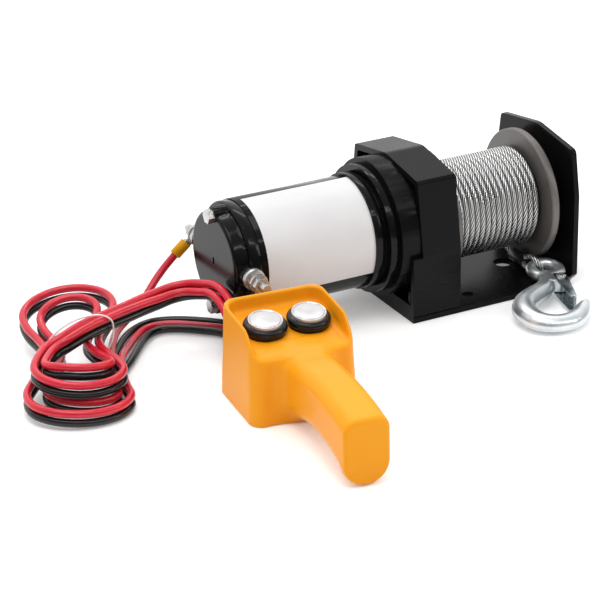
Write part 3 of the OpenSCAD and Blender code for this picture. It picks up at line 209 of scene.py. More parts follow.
def smoothLine(points, steps):
    line = []
    for i in range(len(points) - 1):
        a, b = points[max(i - 1, 0)], points[i]
        c, d = points[i + 1], points[min(i + 2, len(points) - 1)]
        for k in range(steps):
            t = k / steps
            line.append(0.5 * (2 * b + (c - a) * t + (2 * a - 5 * b + 4 * c - d) * t * t
                               + (3 * b - a - 3 * c + d) * t ** 3))
    return line + [points[-1]]


def sweepTube(name, line, radius, sides, finish, upFirst=(0, 0, 1)):
    mesh = bmesh.new()
    side = Vector(upFirst)
    angles = [math.tau * k / sides for k in range(sides)]
    rings = []
    for i, point in enumerate(line):
        ahead = (line[min(i + 1, len(line) - 1)] - line[max(i - 1, 0)]).normalized()
        side = (side - ahead * side.dot(ahead)).normalized()
        across = ahead.cross(side)
        rings.append([mesh.verts.new(point + radius * (math.cos(a) * side + math.sin(a) * across))
                      for a in angles])
    for near, far in zip(rings, rings[1:]):
        for k in range(sides):
            mesh.faces.new((near[k], near[(k + 1) % sides], far[(k + 1) % sides], far[k]))
    mesh.faces.new(list(reversed(rings[0])))
    mesh.faces.new(rings[-1])
    for face in mesh.faces:
        face.smooth = len(face.verts) == 4
    mesh.normal_update()
    data = bpy.data.meshes.new(name)
    mesh.to_mesh(data)
    mesh.free()
    return addObject(name, data, finish)


def revolve(name, profile, sides, finish, place):
    mesh = bmesh.new()
    rings = []
    angles = [math.tau * k / sides for k in range(sides)]
    for radius, height in profile:
        if radius == 0:
            rings.append([mesh.verts.new((0, 0, height))] * sides)
        else:
            rings.append([mesh.verts.new((radius * math.cos(a), radius * math.sin(a), height))
                          for a in angles])
    for low, high in zip(rings, rings[1:]):
        for k in range(sides):
            corners = [low[k], low[(k + 1) % sides], high[(k + 1) % sides], high[k]]
            mesh.faces.new([v for i, v in enumerate(corners) if v not in corners[:i]])
    for face in mesh.faces:
        face.smooth = True
    data = bpy.data.meshes.new(name)
    mesh.to_mesh(data)
    mesh.free()
    data.transform(place @ Matrix.Scale(mm, 4))
    return addObject(name, data, finish)


def smoothMax(a, b, k):
    h = np.clip(0.5 + 0.5 * (a - b) / k, 0, 1)
    return b + (a - b) * h + k * h * (1 - h)


def smoothMin(a, b, k):
    return -smoothMax(-a, -b, k)


def roundedSlab(x, y, halfX, halfY, corner):
    qx, qy = np.abs(x) - (halfX - corner), np.abs(y) - (halfY - corner)
    return np.hypot(np.maximum(qx, 0), np.maximum(qy, 0)) + np.minimum(np.maximum(qx, qy), 0) - corner


# How the skin is pushed back onto the field; nudge and mostPush are shares of the grid's step
fitting = {"nudge": 0.15, "passes": 2, "leastSlope": 0.05, "mostPush": 0.4}


# Closed skin of a distance field given in millimetres: it is drawn on a grid, thinned,
# pushed back onto the field, and shaded with the field's own normals.
def mouldPiece(name, field, spec, finish, place):
    step = spec["voxel"]
    low, high = spec["gridFrom"], spec["gridTo"]
    axes = [np.arange(l, h + step, step) for l, h in zip(low, high)]
    values = field(*np.meshgrid(*axes, indexing="ij")).astype(np.float32)
    grid = openvdb.FloatGrid(float(values.max()))
    grid.copyFromArray(values)
    points, triangles, quads = grid.convertToPolygons(isovalue=0.0, adaptivity=0.0)
    points = np.array(points, float) * step + np.array(low)
    mesh = bpy.data.meshes.new(name)
    mesh.from_pydata(points.tolist(), [], [list(map(int, f)) for f in list(triangles) + list(quads)])
    piece = addObject(name, mesh)
    thin = piece.modifiers.new("thin", "DECIMATE")
    thin.ratio = spec["keep"]
    lean = bpy.data.meshes.new_from_object(piece.evaluated_get(bpy.context.evaluated_depsgraph_get()))
    bpy.data.objects.remove(piece)

    def slope(at):
        nudge = fitting["nudge"] * step
        grads = []
        for axis in range(3):
            move = np.zeros(3)
            move[axis] = nudge
            ahead, behind = at + move, at - move
            grads.append((field(*ahead.T) - field(*behind.T)) / (2 * nudge))
        return np.array(grads).T

    at = np.zeros(len(lean.vertices) * 3)
    lean.vertices.foreach_get("co", at)
    at = at.reshape(-1, 3)
    furthest = fitting["mostPush"] * step
    for _ in range(fitting["passes"]):
        grad = slope(at)
        size = np.maximum((grad ** 2).sum(axis=1), fitting["leastSlope"])
        push = (field(*at.T) / size)[:, None] * grad
        at = at - np.clip(push, -furthest, furthest)
    normal = slope(at)
    normal /= np.maximum(np.linalg.norm(normal, axis=1), 1e-6)[:, None]
    lean.vertices.foreach_set("co", at.ravel())
    lean.update()
    volume = sum(lean.vertices[f.vertices[0]].co.dot(f.normal) * f.area for f in lean.polygons)
    if volume < 0:
        lean.flip_normals()
    turned = np.array(place.to_3x3()) @ normal.T
    lean.transform(place @ Matrix.Scale(mm, 4))
    lean.shade_smooth()
    lean.normals_split_custom_set_from_vertices(turned.T.tolist())
    lean.name = name
    made = addObject(name, lean, finish)
    print(name, "has", len(lean.polygons), "faces")
    return made


# Leads: four in one bundle from the handset to the hank, then each to its own end

leads = {
    "diameter": 5.5 * mm,
    "spacing": 6.5 * mm,
    "sides": 20,
    # The bundle leaves the gland rolled by an angle, and unrolls over some rings before the hank
    "roll": 45,
    "rollRings": 5,
    "arc": [(-207, -88.2, 30), (-204.7, -63, 30), (-204, -55.5, 30.4), (-203.6, -47, 34),
            (-203.6, -38.5, 40), (-204.2, -28, 43.4), (-205.2, -18, 43), (-208.5, -8, 40.6),
            (-215.5, 1, 38.4), (-226, 4.5, 36.8), (-238, 3, 35.6), (-250, 0, 35.2),
            (-263, -3.5, 34.4), (-277, -7, 33.8), (-290, -10.5, 33.2), (-303, -14.5, 31.8),
            (-315, -18.6, 29.6)],
    "hankAt": (-304, -8),
    "hankTurn": math.radians(72),
    "hankHalfLength": 76,
    "hankWaist": 14,
    "hankLobe": 68,
    "hankRound": 0.45,
    "hankAngles": (106, 595),
    "hankRings": 33,
    "hankLowZ": 6.35,
    # From an angle, over how many degrees, and how far the hank sinks there
    "drops": [(106, 95, 6.6), (300, 150, 8.2), (450, 120, 5)],
    # From and to an angle, easing in and out; then for the motor leads and for the battery leads
    # the share of length and of width that is added, and the rise
    "lobes": [(66, 285, 30, 30, ((-0.16, -0.1, 0), (-0.16, -0.1, 0))),
              (90, 285, 80, 30, ((-0.05, -0.04, 8), (0, 0, 0))),
              (255, 465, 30, 30, ((-0.16, -0.2, 9), (-0.02, -0.02, 8.5))),
              (435, 610, 30, 90, ((-0.12, -0.1, 0), (0.03, 0.12, 0)))],
}
# Each lead's angle round the bundle's middle, and its way from the hank to its end
tails = {
    "redMotor": (135, [(-290.5, -42, 9.6), (-285.5, -26, 9.6), (-278, -9, 9.6), (-271, 5, 9.5),
                       (-263.5, 18.5, 8.2), (-255, 30, 7.2), (-245.5, 37.5, 8.6), (-236.5, 41.5, 13),
                       (-228, 44.2, 20), (-219.3, 48, 27.6), (-210.8, 50.3, 34.9),
                       (-201.6, 51.3, 42.6), (-197.1, 51.3, 46.4)]),
    "blackMotor": (225, [(-290.5, -42, 3.1), (-285.5, -26, 3.05), (-277.5, -9.5, 3.05),
                         (-266, 8, 3.05), (-254.5, 22, 3.05), (-242.5, 31.5, 3.05), (-230, 35.8, 3.05),
                         (-218, 33.5, 3.05), (-206, 27, 3.05), (-194, 17.5, 3.05), (-183, 6.5, 3.05),
                         (-175.5, -6, 3.05), (-173.5, -20, 3.6), (-175.5, -33, 8), (-180, -43.5, 17),
                         (-184, -49.6, 26.5), (-185.5, -51.3, 35), (-185.5, -51.3, 41)]),
    "redBattery": (45, [(-284.2, -43.5, 9.6), (-279.2, -28.5, 9.6), (-271.5, -13, 8), (-260, 4, 4.4),
                        (-249, 17.5, 3.05), (-238, 26.5, 3.05), (-227.5, 28.5, 3.05), (-216, 24.5, 3.05),
                        (-204, 15, 3.05), (-192, 4.2, 3.05), (-183.5, -6.5, 3.05), (-181.3, -18, 3.05),
                        (-181.8, -30, 3.5), (-182.5, -41, 4.2), (-182.5, -47, 4.2)]),
    "blackBattery": (-45, [(-284.2, -43.5, 3.1), (-278.2, -29, 3.05), (-266.5, -15, 3.05),
                           (-255, -0.5, 3.05), (-245, 11.5, 3.05), (-235, 19.5, 3.05),
                           (-225.5, 20.5, 3.05), (-215, 15.5, 3.05), (-204, 6, 3.05),
                           (-194.5, -4, 3.05), (-191, -15, 3.05), (-193.6, -26, 3.4),
                           (-197.4, -35, 4), (-198, -41, 4.2), (-198, -47, 4.2)]),
}


def ease(u):
    u = max(0, min(1, u))
    return u * u * (3 - 2 * u)


# A place given along, across and above the hank
def onHank(spec, x, y, z):
    turnCos, turnSin = math.cos(spec["hankTurn"]), math.sin(spec["hankTurn"])
    atX, atY = spec["hankAt"]
    return Vector((atX + x * turnCos - y * turnSin, atY + x * turnSin + y * turnCos, z))


def hankPoint(spec, degrees, pair):
    longer = wider = rise = 0
    for start, stop, easeIn, easeOut, shares in spec["lobes"]:
        amount = ease((degrees - start) / easeIn) * ease((stop - degrees) / easeOut)
        longer += amount * shares[pair][0]
        wider += amount * shares[pair][1]
        rise += amount * shares[pair][2]
    sinking = [far * (1 - ease((degrees - start) / over)) for start, over, far in spec["drops"]]
    a = math.radians(degrees)
    square = math.cos(a) ** 2
    x = spec["hankHalfLength"] * math.cos(a) * (1 + longer)
    halfWidth = spec["hankWaist"] + spec["hankLobe"] * square * (1 - spec["hankRound"] * square)
    y = math.sin(a) * halfWidth * (1 + wider)
    return onHank(spec, x, y, spec["hankLowZ"] + sum(sinking) + rise * square)


def pairLine(spec, pair):
    start, stop = spec["hankAngles"]
    rings = spec["hankRings"]
    hank = [hankPoint(spec, start + (stop - start) * i / rings, pair) for i in range(rings + 1)]
    return [Vector(p) for p in spec["arc"]] + hank


def leadLine(spec, name):
    angle, tail = tails[name]
    middle = pairLine(spec, 0 if "Motor" in name else 1)
    reach = spec["spacing"] / mm / math.sqrt(2)
    rolled = spec["rollRings"]
    line = []
    for i, point in enumerate(middle):
        ahead = (middle[min(i + 1, len(middle) - 1)] - middle[max(i - 1, 0)]).normalized()
        across = Vector((ahead.y, -ahead.x, 0)).normalized()
        roll = spec["roll"] * max(0, min(1, (len(spec["arc"]) - rolled - i) / rolled))
        a = math.radians(angle + roll)
        line.append(point + reach * (math.cos(a) * across + Vector((0, 0, math.sin(a)))))
    return [p * mm for p in line + [Vector(t) for t in tail]]


leadNodes = {
    "redMotor": "lead_red_motor",
    "blackMotor": "lead_black_motor",
    "redBattery": "lead_red_battery",
    "blackBattery": "lead_black_battery",
}


def makeLeads(spec):
    made = {}
    for name, node in leadNodes.items():
        finish = "redSheath" if "red" in name else "blackSheath"
        line = smoothLine(leadLine(spec, name), 4)
        lead = sweepTube(name + "Lead", line, spec["diameter"] / 2, spec["sides"], finish)
        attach(lead, "winch")
        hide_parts(node)
        made[name] = (lead, line)
    return made


leadPieces = makeLeads(leads)

# The tie's path: across the hank, and up
tie = {
    "thickness": 1.2,
    "sides": 12,
    "path": [(2, 3.4), (13, 7.2), (19.3, 10.8), (21.4, 13.6), (24.4, 19), (26.6, 27), (26, 36.8), (18, 41.7),
             (5, 40.4), (-6, 35.4), (-15, 27.8), (-21.6, 18), (-23, 9.5), (-20, 3.6), (-12, 1.8), (-1, 1.5)],
}


def tieLine(spec):
    return smoothLine([onHank(leads, 0, -across, up) * mm for across, up in spec["path"]], 5)


hankTie = sweepTube("hankTie", tieLine(tie), tie["thickness"] / 2 * mm, tie["sides"], "tieWhite",
                    (math.cos(leads["hankTurn"]), math.sin(leads["hankTurn"]), 0))
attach(hankTie, "winch")
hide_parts("hank_tie")
print("leads and tie made")


# Wire rope: six strands laid round the rope's line by Geometry Nodes

rope = {
    "diameter": 4 * mm,
    "layLength": 25 * mm,
    "strands": 6,
    "strandShare": 0.94,
    "strandSides": 8,
    "pointsPerLay": 9,
    "wrapPitch": 4.42 * mm,
    "lineRadius": 34.2 * mm,
    "startAngle": math.radians(200),
    "startX": -23.1 * mm,
    "wraps": 15.875,
    "shaftZ": 56 * mm,
}


def strandTree():
    tree = bpy.data.node_groups.new("ropeStrands", "GeometryNodeTree")
    face = tree.interface
    face.new_socket("Geometry", in_out="INPUT", socket_type="NodeSocketGeometry")
    for label, kind in [("Strand Orbit", "Float"), ("Strand Radius", "Float"), ("Lay Length", "Float"),
                        ("Strands", "Int"), ("Strand Sides", "Int"), ("Wire", "Material")]:
        face.new_socket(label, in_out="INPUT", socket_type="NodeSocket" + kind)
    face.new_socket("Geometry", in_out="OUTPUT", socket_type="NodeSocketGeometry")
    n, link = tree.nodes, tree.links.new
    given, result = n.new("NodeGroupInput"), n.new("NodeGroupOutput")

    def maths(operation, *values):
        node = n.new("ShaderNodeMath")
        node.operation = operation
        for slot, value in enumerate(values):
            if isinstance(value, float):
                node.inputs[slot].default_value = value
            else:
                link(value, node.inputs[slot])
        return node.outputs[0]

    def scaled(vector, amount):
        node = n.new("ShaderNodeVectorMath")
        node.operation = "SCALE"
        link(vector, node.inputs[0])
        link(amount, node.inputs["Scale"])
        return node.outputs[0]

    copies = n.new("GeometryNodeDuplicateElements")
    copies.domain = "SPLINE"
    link(given.outputs["Geometry"], copies.inputs["Geometry"])
    link(given.outputs["Strands"], copies.inputs["Amount"])
    along = n.new("GeometryNodeSplineParameter").outputs["Length"]
    lays = maths("DIVIDE", along, given.outputs["Lay Length"])
    share = maths("DIVIDE", copies.outputs["Duplicate Index"], given.outputs["Strands"])
    angle = maths("ADD", maths("MULTIPLY", lays, math.tau), maths("MULTIPLY", share, math.tau))
    normal = n.new("GeometryNodeInputNormal").outputs[0]
    tangent = n.new("GeometryNodeInputTangent").outputs[0]
    cross = n.new("ShaderNodeVectorMath")
    cross.operation = "CROSS_PRODUCT"
    link(tangent, cross.inputs[0])
    link(normal, cross.inputs[1])
    outward = n.new("ShaderNodeVectorMath")
    link(scaled(normal, maths("COSINE", angle)), outward.inputs[0])
    link(scaled(cross.outputs[0], maths("SINE", angle)), outward.inputs[1])
    marked = n.new("GeometryNodeStoreNamedAttribute")
    marked.data_type = "FLOAT_VECTOR"
    marked.inputs["Name"].default_value = "outward"
    link(copies.outputs["Geometry"], marked.inputs["Geometry"])
    link(outward.outputs[0], marked.inputs["Value"])
    moved = n.new("GeometryNodeSetPosition")
    link(marked.outputs[0], moved.inputs["Geometry"])
    link(scaled(outward.outputs[0], given.outputs["Strand Orbit"]), moved.inputs["Offset"])
    ring = n.new("GeometryNodeCurvePrimitiveCircle")
    link(given.outputs["Strand Sides"], ring.inputs["Resolution"])
    link(given.outputs["Strand Radius"], ring.inputs["Radius"])
    strands = n.new("GeometryNodeCurveToMesh")
    strands.inputs["Fill Caps"].default_value = True
    link(moved.outputs[0], strands.inputs["Curve"])
    link(ring.outputs["Curve"], strands.inputs["Profile Curve"])
    # How far each strand's skin faces out of the rope, for the painted shade in the grooves between the
    # strands
    facing = n.new("ShaderNodeVectorMath")
    facing.operation = "DOT_PRODUCT"
    stored = n.new("GeometryNodeInputNamedAttribute")
    stored.data_type = "FLOAT_VECTOR"
    stored.inputs["Name"].default_value = "outward"
    link(stored.outputs["Attribute"], facing.inputs[0])
    link(n.new("GeometryNodeInputNormal").outputs[0], facing.inputs[1])
    crowned = n.new("GeometryNodeStoreNamedAttribute")
    crowned.inputs["Name"].default_value = "crown"
    link(strands.outputs[0], crowned.inputs["Geometry"])
    link(facing.outputs["Value"], crowned.inputs["Value"])
    smooth = n.new("GeometryNodeSetShadeSmooth")
    link(crowned.outputs[0], smooth.inputs["Geometry"])
    real = n.new("GeometryNodeRealizeInstances")
    link(smooth.outputs[0], real.inputs[0])
    paint = n.new("GeometryNodeSetMaterial")
    link(real.outputs[0], paint.inputs["Geometry"])
    link(given.outputs["Wire"], paint.inputs["Material"])
    link(paint.outputs[0], result.inputs[0])
    return tree


ropeTree = strandTree()


def layRope(name, line, spec):
    curve = bpy.data.curves.new(name + "Line", "CURVE")
    curve.dimensions = "3D"
    curve.twist_mode = "MINIMUM"
    spline = curve.splines.new("POLY")
    spline.points.add(len(line) - 1)
    for point, place in zip(spline.points, line):
        point.co = (*place, 1)
    holder = bpy.data.objects.new(name + "Line", curve)
    scene.collection.objects.link(holder)
    modifier = holder.modifiers.new("strands", "NODES")
    modifier.node_group = ropeTree
    sockets = {s.name: s.identifier for s in ropeTree.interface.items_tree if s.in_out == "INPUT"}
    # Six strands round a core: each is a third of the rope's thickness
    radius = spec["diameter"] / 3 / 2
    modifier[sockets["Strand Orbit"]] = spec["diameter"] / 2 - radius
    modifier[sockets["Strand Radius"]] = radius * spec["strandShare"]
    modifier[sockets["Lay Length"]] = spec["layLength"]
    modifier[sockets["Strands"]] = spec["strands"]
    modifier[sockets["Strand Sides"]] = spec["strandSides"]
    modifier[sockets["Wire"]] = finishes["ropeWire"]
    shown = holder.evaluated_get(bpy.context.evaluated_depsgraph_get())
    mesh = bpy.data.meshes.new_from_object(shown)
    mesh.name = name
    bpy.data.objects.remove(holder)
    return addObject(name, mesh)


def windingLine(spec):
    length = spec["wraps"] * math.hypot(math.tau * spec["lineRadius"], spec["wrapPitch"])
    count = int(length / spec["layLength"] * spec["pointsPerLay"])
    line = []
    for i in range(count + 1):
        t = i / count * spec["wraps"]
        a = spec["startAngle"] - t * math.tau
        line.append(Vector((spec["startX"] + spec["wrapPitch"] * t, spec["lineRadius"] * math.cos(a),
                            spec["shaftZ"] + spec["lineRadius"] * math.sin(a))))
    return line


winding = layRope("ropeWinding", windingLine(rope), rope)
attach(winding, "drum")
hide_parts("rope_winding")

ropeEnd = {
    "x": 43, "offRadius": 38.7, "shaftZ": 56, "offAngles": range(-10, -71, -10),
    "underDrum": [(6.5, 16), (1, 13.6), (-3, 12.9)],
    "ferruleY": -13, "ferruleZ": 12.6, "ferruleLength": 14, "tailGap": 0.2, "eyeGap": 0.7,
    "eyeAt": (46.4, -44, 12.7), "eyeLineRadius": 10.3, "eyeBar": 8, "hookTilt": math.radians(4.9),
    "loopX": 44.6, "loopLean": math.radians(-25), "loopGap": 0.4, "loopAngles": range(70, 291, 20),
    # The legs between the ferrule and the loop: half their distance at both ends, and their run
    "legsHalf": (2.1, 3.8), "legsAside": 0.9, "legsSpread": 1.6, "legsLong": 3.6,
}


def tailLine(spec):
    x, radius = spec["x"], spec["offRadius"]
    offDrum = [math.radians(degrees) for degrees in spec["offAngles"]]
    line = [(x, radius * math.cos(a), spec["shaftZ"] + radius * math.sin(a)) for a in offDrum]
    line += [(x, y, z) for y, z in spec["underDrum"]]
    line.append((x, spec["ferruleY"] + spec["ferruleLength"] / 2 + spec["tailGap"], spec["ferruleZ"]))
    return [Vector(p) * mm for p in line]


def eyeLine(spec):
    lean = spec["loopLean"]
    ropeRadius = rope["diameter"] / mm / 2
    along = spec["eyeBar"] / 2 + ropeRadius + spec["loopGap"]
    across = spec["eyeBar"] / 2 / math.cos(lean) + ropeRadius + spec["loopGap"]
    dx = spec["loopX"] - spec["eyeAt"][0]
    y = spec["eyeAt"][1] + math.sqrt(spec["eyeLineRadius"] ** 2 - dx ** 2)
    z = spec["eyeAt"][2] + spec["eyeLineRadius"] * math.sin(spec["hookTilt"])
    legY = spec["ferruleY"] - spec["ferruleLength"] / 2 - spec["eyeGap"]

    def leg(side):
        near, far = spec["legsHalf"]
        return [(spec["x"], legY, spec["ferruleZ"] + near * side),
                (spec["x"] + spec["legsAside"] + spec["legsSpread"] * side, legY - spec["legsLong"],
                 spec["ferruleZ"] + far * side)]

    loop = []
    for degrees in spec["loopAngles"]:
        a = math.radians(degrees)
        loop.append((spec["loopX"] + across * math.sin(a) * math.sin(lean), y + along * math.cos(a),
                     z + across * math.sin(a) * math.cos(lean)))
    return [Vector(p) * mm for p in leg(1) + loop + leg(-1)[::-1]]


ropeTailLine = smoothLine(tailLine(ropeEnd), 4)
ropeTail = layRope("ropeTail", ropeTailLine, rope)
ropeEyeLine = smoothLine(eyeLine(ropeEnd), 4)
ropeEye = layRope("ropeEye", ropeEyeLine, rope)
for piece, node in [(ropeTail, "rope_tail"), (ropeEye, "rope_eye")]:
    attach(piece, "winch")
    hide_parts(node)
print("rope laid")


# Handset shell: one soft moulding. The box, its rim and the grip flow into each other.

handset = {
    "at": (-196.2, -111.4), "turn": -5.6,
    "width": 75, "depth": 66, "draft": 0.04, "corner": 9, "wall": 2.5,
    "panelFront": 46, "panelSlope": 8.6, "panelWall": 3.2,
    "rimInside": (31.9, 25.7), "rimCorner": 9, "rimFlare": 0.1,
    "rimHigh": 63.6, "rimLow": 45, "rimFall": (-34, -12), "rimTilt": 0.045, "rimTiltY": -5,
    "gripHalf": 15.5, "gripCorner": 9, "gripFrom": -22, "gripRoomFrom": -20, "gripEnd": -130,
    "gripFoot": 9, "footRamp": 2.5,
    # Height, bend and place along the grip
    "gripTop": (50.7, 0.00196, -78), "gripArch": (10, 0.004, -80),
    "buttonPitch": 30.2, "buttonY": 1, "switchBore": 10.1,
    "glandX": -13, "glandZ": 30, "glandBore": 8.5, "glandFrom": 15,
    # Roundings where two surfaces meet
    "panelRound": 3.5, "rimRound": 3, "lipRound": 2.2, "gripRound": 3, "gripJoin": 1, "gripBlend": 13,
    "roomRound": 1.5, "roomBlend": 0.6, "baseRound": 0.8,
    "baseZ": 0.15, "archLeast": 0.1, "beyond": 60,
    "voxel": 0.9, "keep": 0.4, "gridFrom": (-40, -134, -3), "gridTo": (40, 36, 70),
}


def handsetField(x, y, z, spec=handset):
    slope, beyond = math.radians(spec["panelSlope"]), spec["beyond"]
    halfX, halfY = spec["width"] / 2 - spec["draft"] * z, spec["depth"] / 2 - spec["draft"] * z
    outside = roundedSlab(x, y, halfX, halfY, spec["corner"])
    # The box, its rim falling toward the grip, and the panel sunk inside the rim
    panel = spec["panelFront"] + (y + spec["depth"] / 2) * math.tan(slope)
    insideX, insideY = spec["rimInside"]
    flare = spec["rimFlare"] * np.maximum(z - panel, 0)
    recess = smoothMax(roundedSlab(x, y - insideY + beyond, insideX, beyond, spec["rimCorner"]) - flare,
                       (panel - z) * math.cos(slope), spec["panelRound"])
    fallFrom, fallTo = spec["rimFall"]
    t = np.clip((y - fallFrom) / (fallTo - fallFrom), 0, 1)
    rise = spec["rimHigh"] + spec["rimTilt"] * (y - spec["rimTiltY"]) - spec["rimLow"]
    rimTop = spec["rimLow"] + rise * t * t * (3 - 2 * t)
    steep = rise * 6 * t * (1 - t) / (fallTo - fallFrom)
    body = smoothMax(outside, (z - rimTop) / np.sqrt(1 + steep ** 2), spec["rimRound"])
    body = smoothMax(body, -recess, spec["lipRound"])
    # The grip, arched above and below, with a foot at its end
    peak, bend, peakY = spec["gripTop"]
    top = peak - bend * (y - peakY) ** 2
    arch, archBend, archY = spec["gripArch"]
    low = np.maximum(arch - archBend * (y - archY) ** 2, spec["archLeast"])
    foot = np.clip((spec["gripEnd"] + spec["gripFoot"] - y) / spec["footRamp"], 0, 1)
    low = low + (spec["archLeast"] - low) * foot
    half, corner = spec["gripHalf"], spec["gripCorner"]
    section = np.where(z < low + half, np.hypot(x, z - low - half) - half,
                       roundedSlab(x, z - top + beyond, half, beyond, corner))
    grip = smoothMax(section, spec["gripEnd"] - y, spec["gripRound"])
    grip = smoothMax(grip, y - spec["gripFrom"], spec["gripJoin"])
    solid = smoothMin(body, grip, spec["gripBlend"])
    # The hollow inside, the switches' bores and the gland's mouth
    wall = spec["wall"]
    room = smoothMax(outside + wall, z - panel + spec["panelWall"], spec["roomRound"])
    gripRoom = np.maximum(section + wall, spec["gripEnd"] + wall - y)
    gripRoom = np.maximum(gripRoom, y - spec["gripRoomFrom"])
    solid = smoothMax(solid, -np.minimum(room, gripRoom), spec["roomBlend"])
    buttonZ = spec["panelFront"] + (spec["buttonY"] + spec["depth"] / 2) * math.tan(slope)
    across = (y - spec["buttonY"]) * math.cos(slope) + (z - buttonZ) * math.sin(slope)
    bore = np.hypot(np.abs(x) - spec["buttonPitch"] / 2, across) - spec["switchBore"]
    solid = np.maximum(solid, -bore)
    mouth = np.hypot(x - spec["glandX"], z - spec["glandZ"]) - spec["glandBore"]
    solid = np.maximum(solid, -np.maximum(mouth, spec["glandFrom"] - y))
    return smoothMax(solid, spec["baseZ"] - z, spec["baseRound"])


handsetPlace = (Matrix.Translation((handset["at"][0] * mm, handset["at"][1] * mm, 0))
                @ Matrix.Rotation(math.radians(handset["turn"]), 4, "Z"))
handsetShell = mouldPiece("handsetShell", handsetField, handset, "orangePlastic", handsetPlace)
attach(handsetShell, "winch")
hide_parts("handset_shell")

# Button caps: a slightly domed disc with a ring pressed round its edge, on a stem

caps = {
    "stem": 4, "stemFrom": -3, "foot": 3.4, "radius": 11.5, "rim": 9.1, "rimRound": 0.4, "footEdge": 0.3,
    "grooveRadius": 10.3, "grooveHalf": 0.25, "grooveLip": (0.15, 0.05), "groove": 8.75,
    "domeLip": 0.1, "dome": 9.6,
    "sides": 64,
}


def capProfile(spec):
    inner = spec["grooveRadius"] - spec["grooveHalf"]
    edge, bend = spec["footEdge"], spec["rimRound"]
    outline = [(0, spec["stemFrom"]), (spec["stem"], spec["stemFrom"]), (spec["stem"], spec["foot"]),
               (spec["radius"] - edge, spec["foot"]), (spec["radius"], spec["foot"] + edge)]
    for degrees in range(0, 91, 18):
        a = math.radians(degrees)
        outline.append((spec["radius"] - bend + bend * math.cos(a), spec["rim"] - bend + bend * math.sin(a)))
    lipOut, lipDown = spec["grooveLip"]
    outline += [(spec["grooveRadius"] + lipOut, spec["rim"] - lipDown),
                (spec["grooveRadius"], spec["groove"]), (inner, spec["groove"])]
    domeFrom = spec["groove"] + spec["domeLip"]
    for degrees in range(6, 90, 12):
        a = math.radians(degrees)
        outline.append((inner * math.cos(a), domeFrom + (spec["dome"] - domeFrom) * math.sin(a)))
    return outline + [(0, spec["dome"])]


def capPlace(side):
    slope = math.radians(handset["panelSlope"])
    height = handset["panelFront"] + (handset["buttonY"] + handset["depth"] / 2) * math.tan(slope)
    there = Vector((side * handset["buttonPitch"] / 2, handset["buttonY"], height)) * mm
    return handsetPlace @ Matrix.Translation(there) @ Matrix.Rotation(slope, 4, "X")


for name, side in [("button_in", -1), ("button_out", 1)]:
    cap = revolve(name.replace("button_", "buttonCap"), capProfile(caps), caps["sides"], "buttonCap",
                  capPlace(side))
    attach(cap, name)
    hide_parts(name)

# Hook: one forging, its eye and shank blended, with a flattened crook

forging = {
    "eyeAt": (46.4, -44), "eyeLine": 10.3, "eyeBar": 4.0, "tilt": 4.9, "pivotZ": 12.7,
    "line": [(41.5, -53.5), (36, -61.5), (27, -69.5), (15.8, -74.5), (6.8, -79.5), (1, -87), (-1, -97),
             (1.8, -107.5), (10.5, -114), (21.5, -115), (31, -110.8), (37.8, -105), (43, -100), (47, -96.6)],
    "half": [4.6, 5.6, 6.8, 7.6, 8, 8.3, 8.2, 7.9, 7.3, 7, 6.5, 5.6, 4.1, 2.2],
    "ridge": {"out": 0.55, "half": 0.45, "low": 2.4, "edgeRound": 0.4, "blend": 0.6},
    # The bar turns from round to flat between two steps of the smoothed line
    "flat": 0.82, "flatOver": [6, 15],
    "latchPivot": (44.4, -66.4), "bossFrom": (36.5, -60), "bossRadius": 4.4, "bossHalf": 4.8,
    "bossEdge": 1, "bossBlend": 1.5, "eyeBlend": 3, "rivetHole": 1.85,
    "voxel": 0.5, "keep": 0.45, "gridFrom": (-13, -124, -10), "gridTo": (64, -27, 10),
}


def segmentFactor(x, y, a, b):
    dx, dy = b[0] - a[0], b[1] - a[1]
    t = np.clip(((x - a[0]) * dx + (y - a[1]) * dy) / (dx * dx + dy * dy), 0, 1)
    return t, np.hypot(x - a[0] - t * dx, y - a[1] - t * dy)


def hookField(x, y, z, spec=forging):
    points = smoothLine([Vector((*p, h)) for p, h in zip(spec["line"], spec["half"])], 3)
    ridge = spec["ridge"]
    bar = flash = np.inf
    for i, (a, b) in enumerate(zip(points, points[1:])):
        t, away = segmentFactor(x, y, a, b)
        share = np.interp(i + t, spec["flatOver"], [1, spec["flat"]])
        half = a.z + (b.z - a.z) * t
        atRidge = np.sqrt(np.maximum(half ** 2 - (ridge["low"] / share) ** 2, 0))
        bar = np.minimum(bar, np.hypot(away, z / share) - half)
        flash = np.minimum(flash, away - atRidge - ridge["out"])
    flash = smoothMax(flash, np.abs(z + ridge["low"]) - ridge["half"], ridge["edgeRound"])
    bar = smoothMin(bar, flash, ridge["blend"])
    eyeX, eyeY = spec["eyeAt"]
    eye = np.hypot(np.hypot(x - eyeX, y - eyeY) - spec["eyeLine"], z) - spec["eyeBar"]
    whole = smoothMin(bar, eye, spec["eyeBlend"])
    pivot = spec["latchPivot"]
    _, away = segmentFactor(x, y, spec["bossFrom"], pivot)
    boss = smoothMax(away - spec["bossRadius"], np.abs(z) - spec["bossHalf"], spec["bossEdge"])
    whole = smoothMin(whole, boss, spec["bossBlend"])
    return np.maximum(whole, spec["rivetHole"] - np.hypot(x - pivot[0], y - pivot[1]))


hookPlace = (Matrix.Translation((0, forging["eyeAt"][1] * mm, forging["pivotZ"] * mm))
             @ Matrix.Rotation(math.radians(forging["tilt"]), 4, "X")
             @ Matrix.Translation((0, -forging["eyeAt"][1] * mm, 0)))
hookPiece = mouldPiece("forgedHook", hookField, forging, "hookZinc", hookPlace)
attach(hookPiece, "winch")
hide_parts("hook")
print("handset and hook moulded")

# CAD nodes that keep their shape get their finish, and their edges are eased

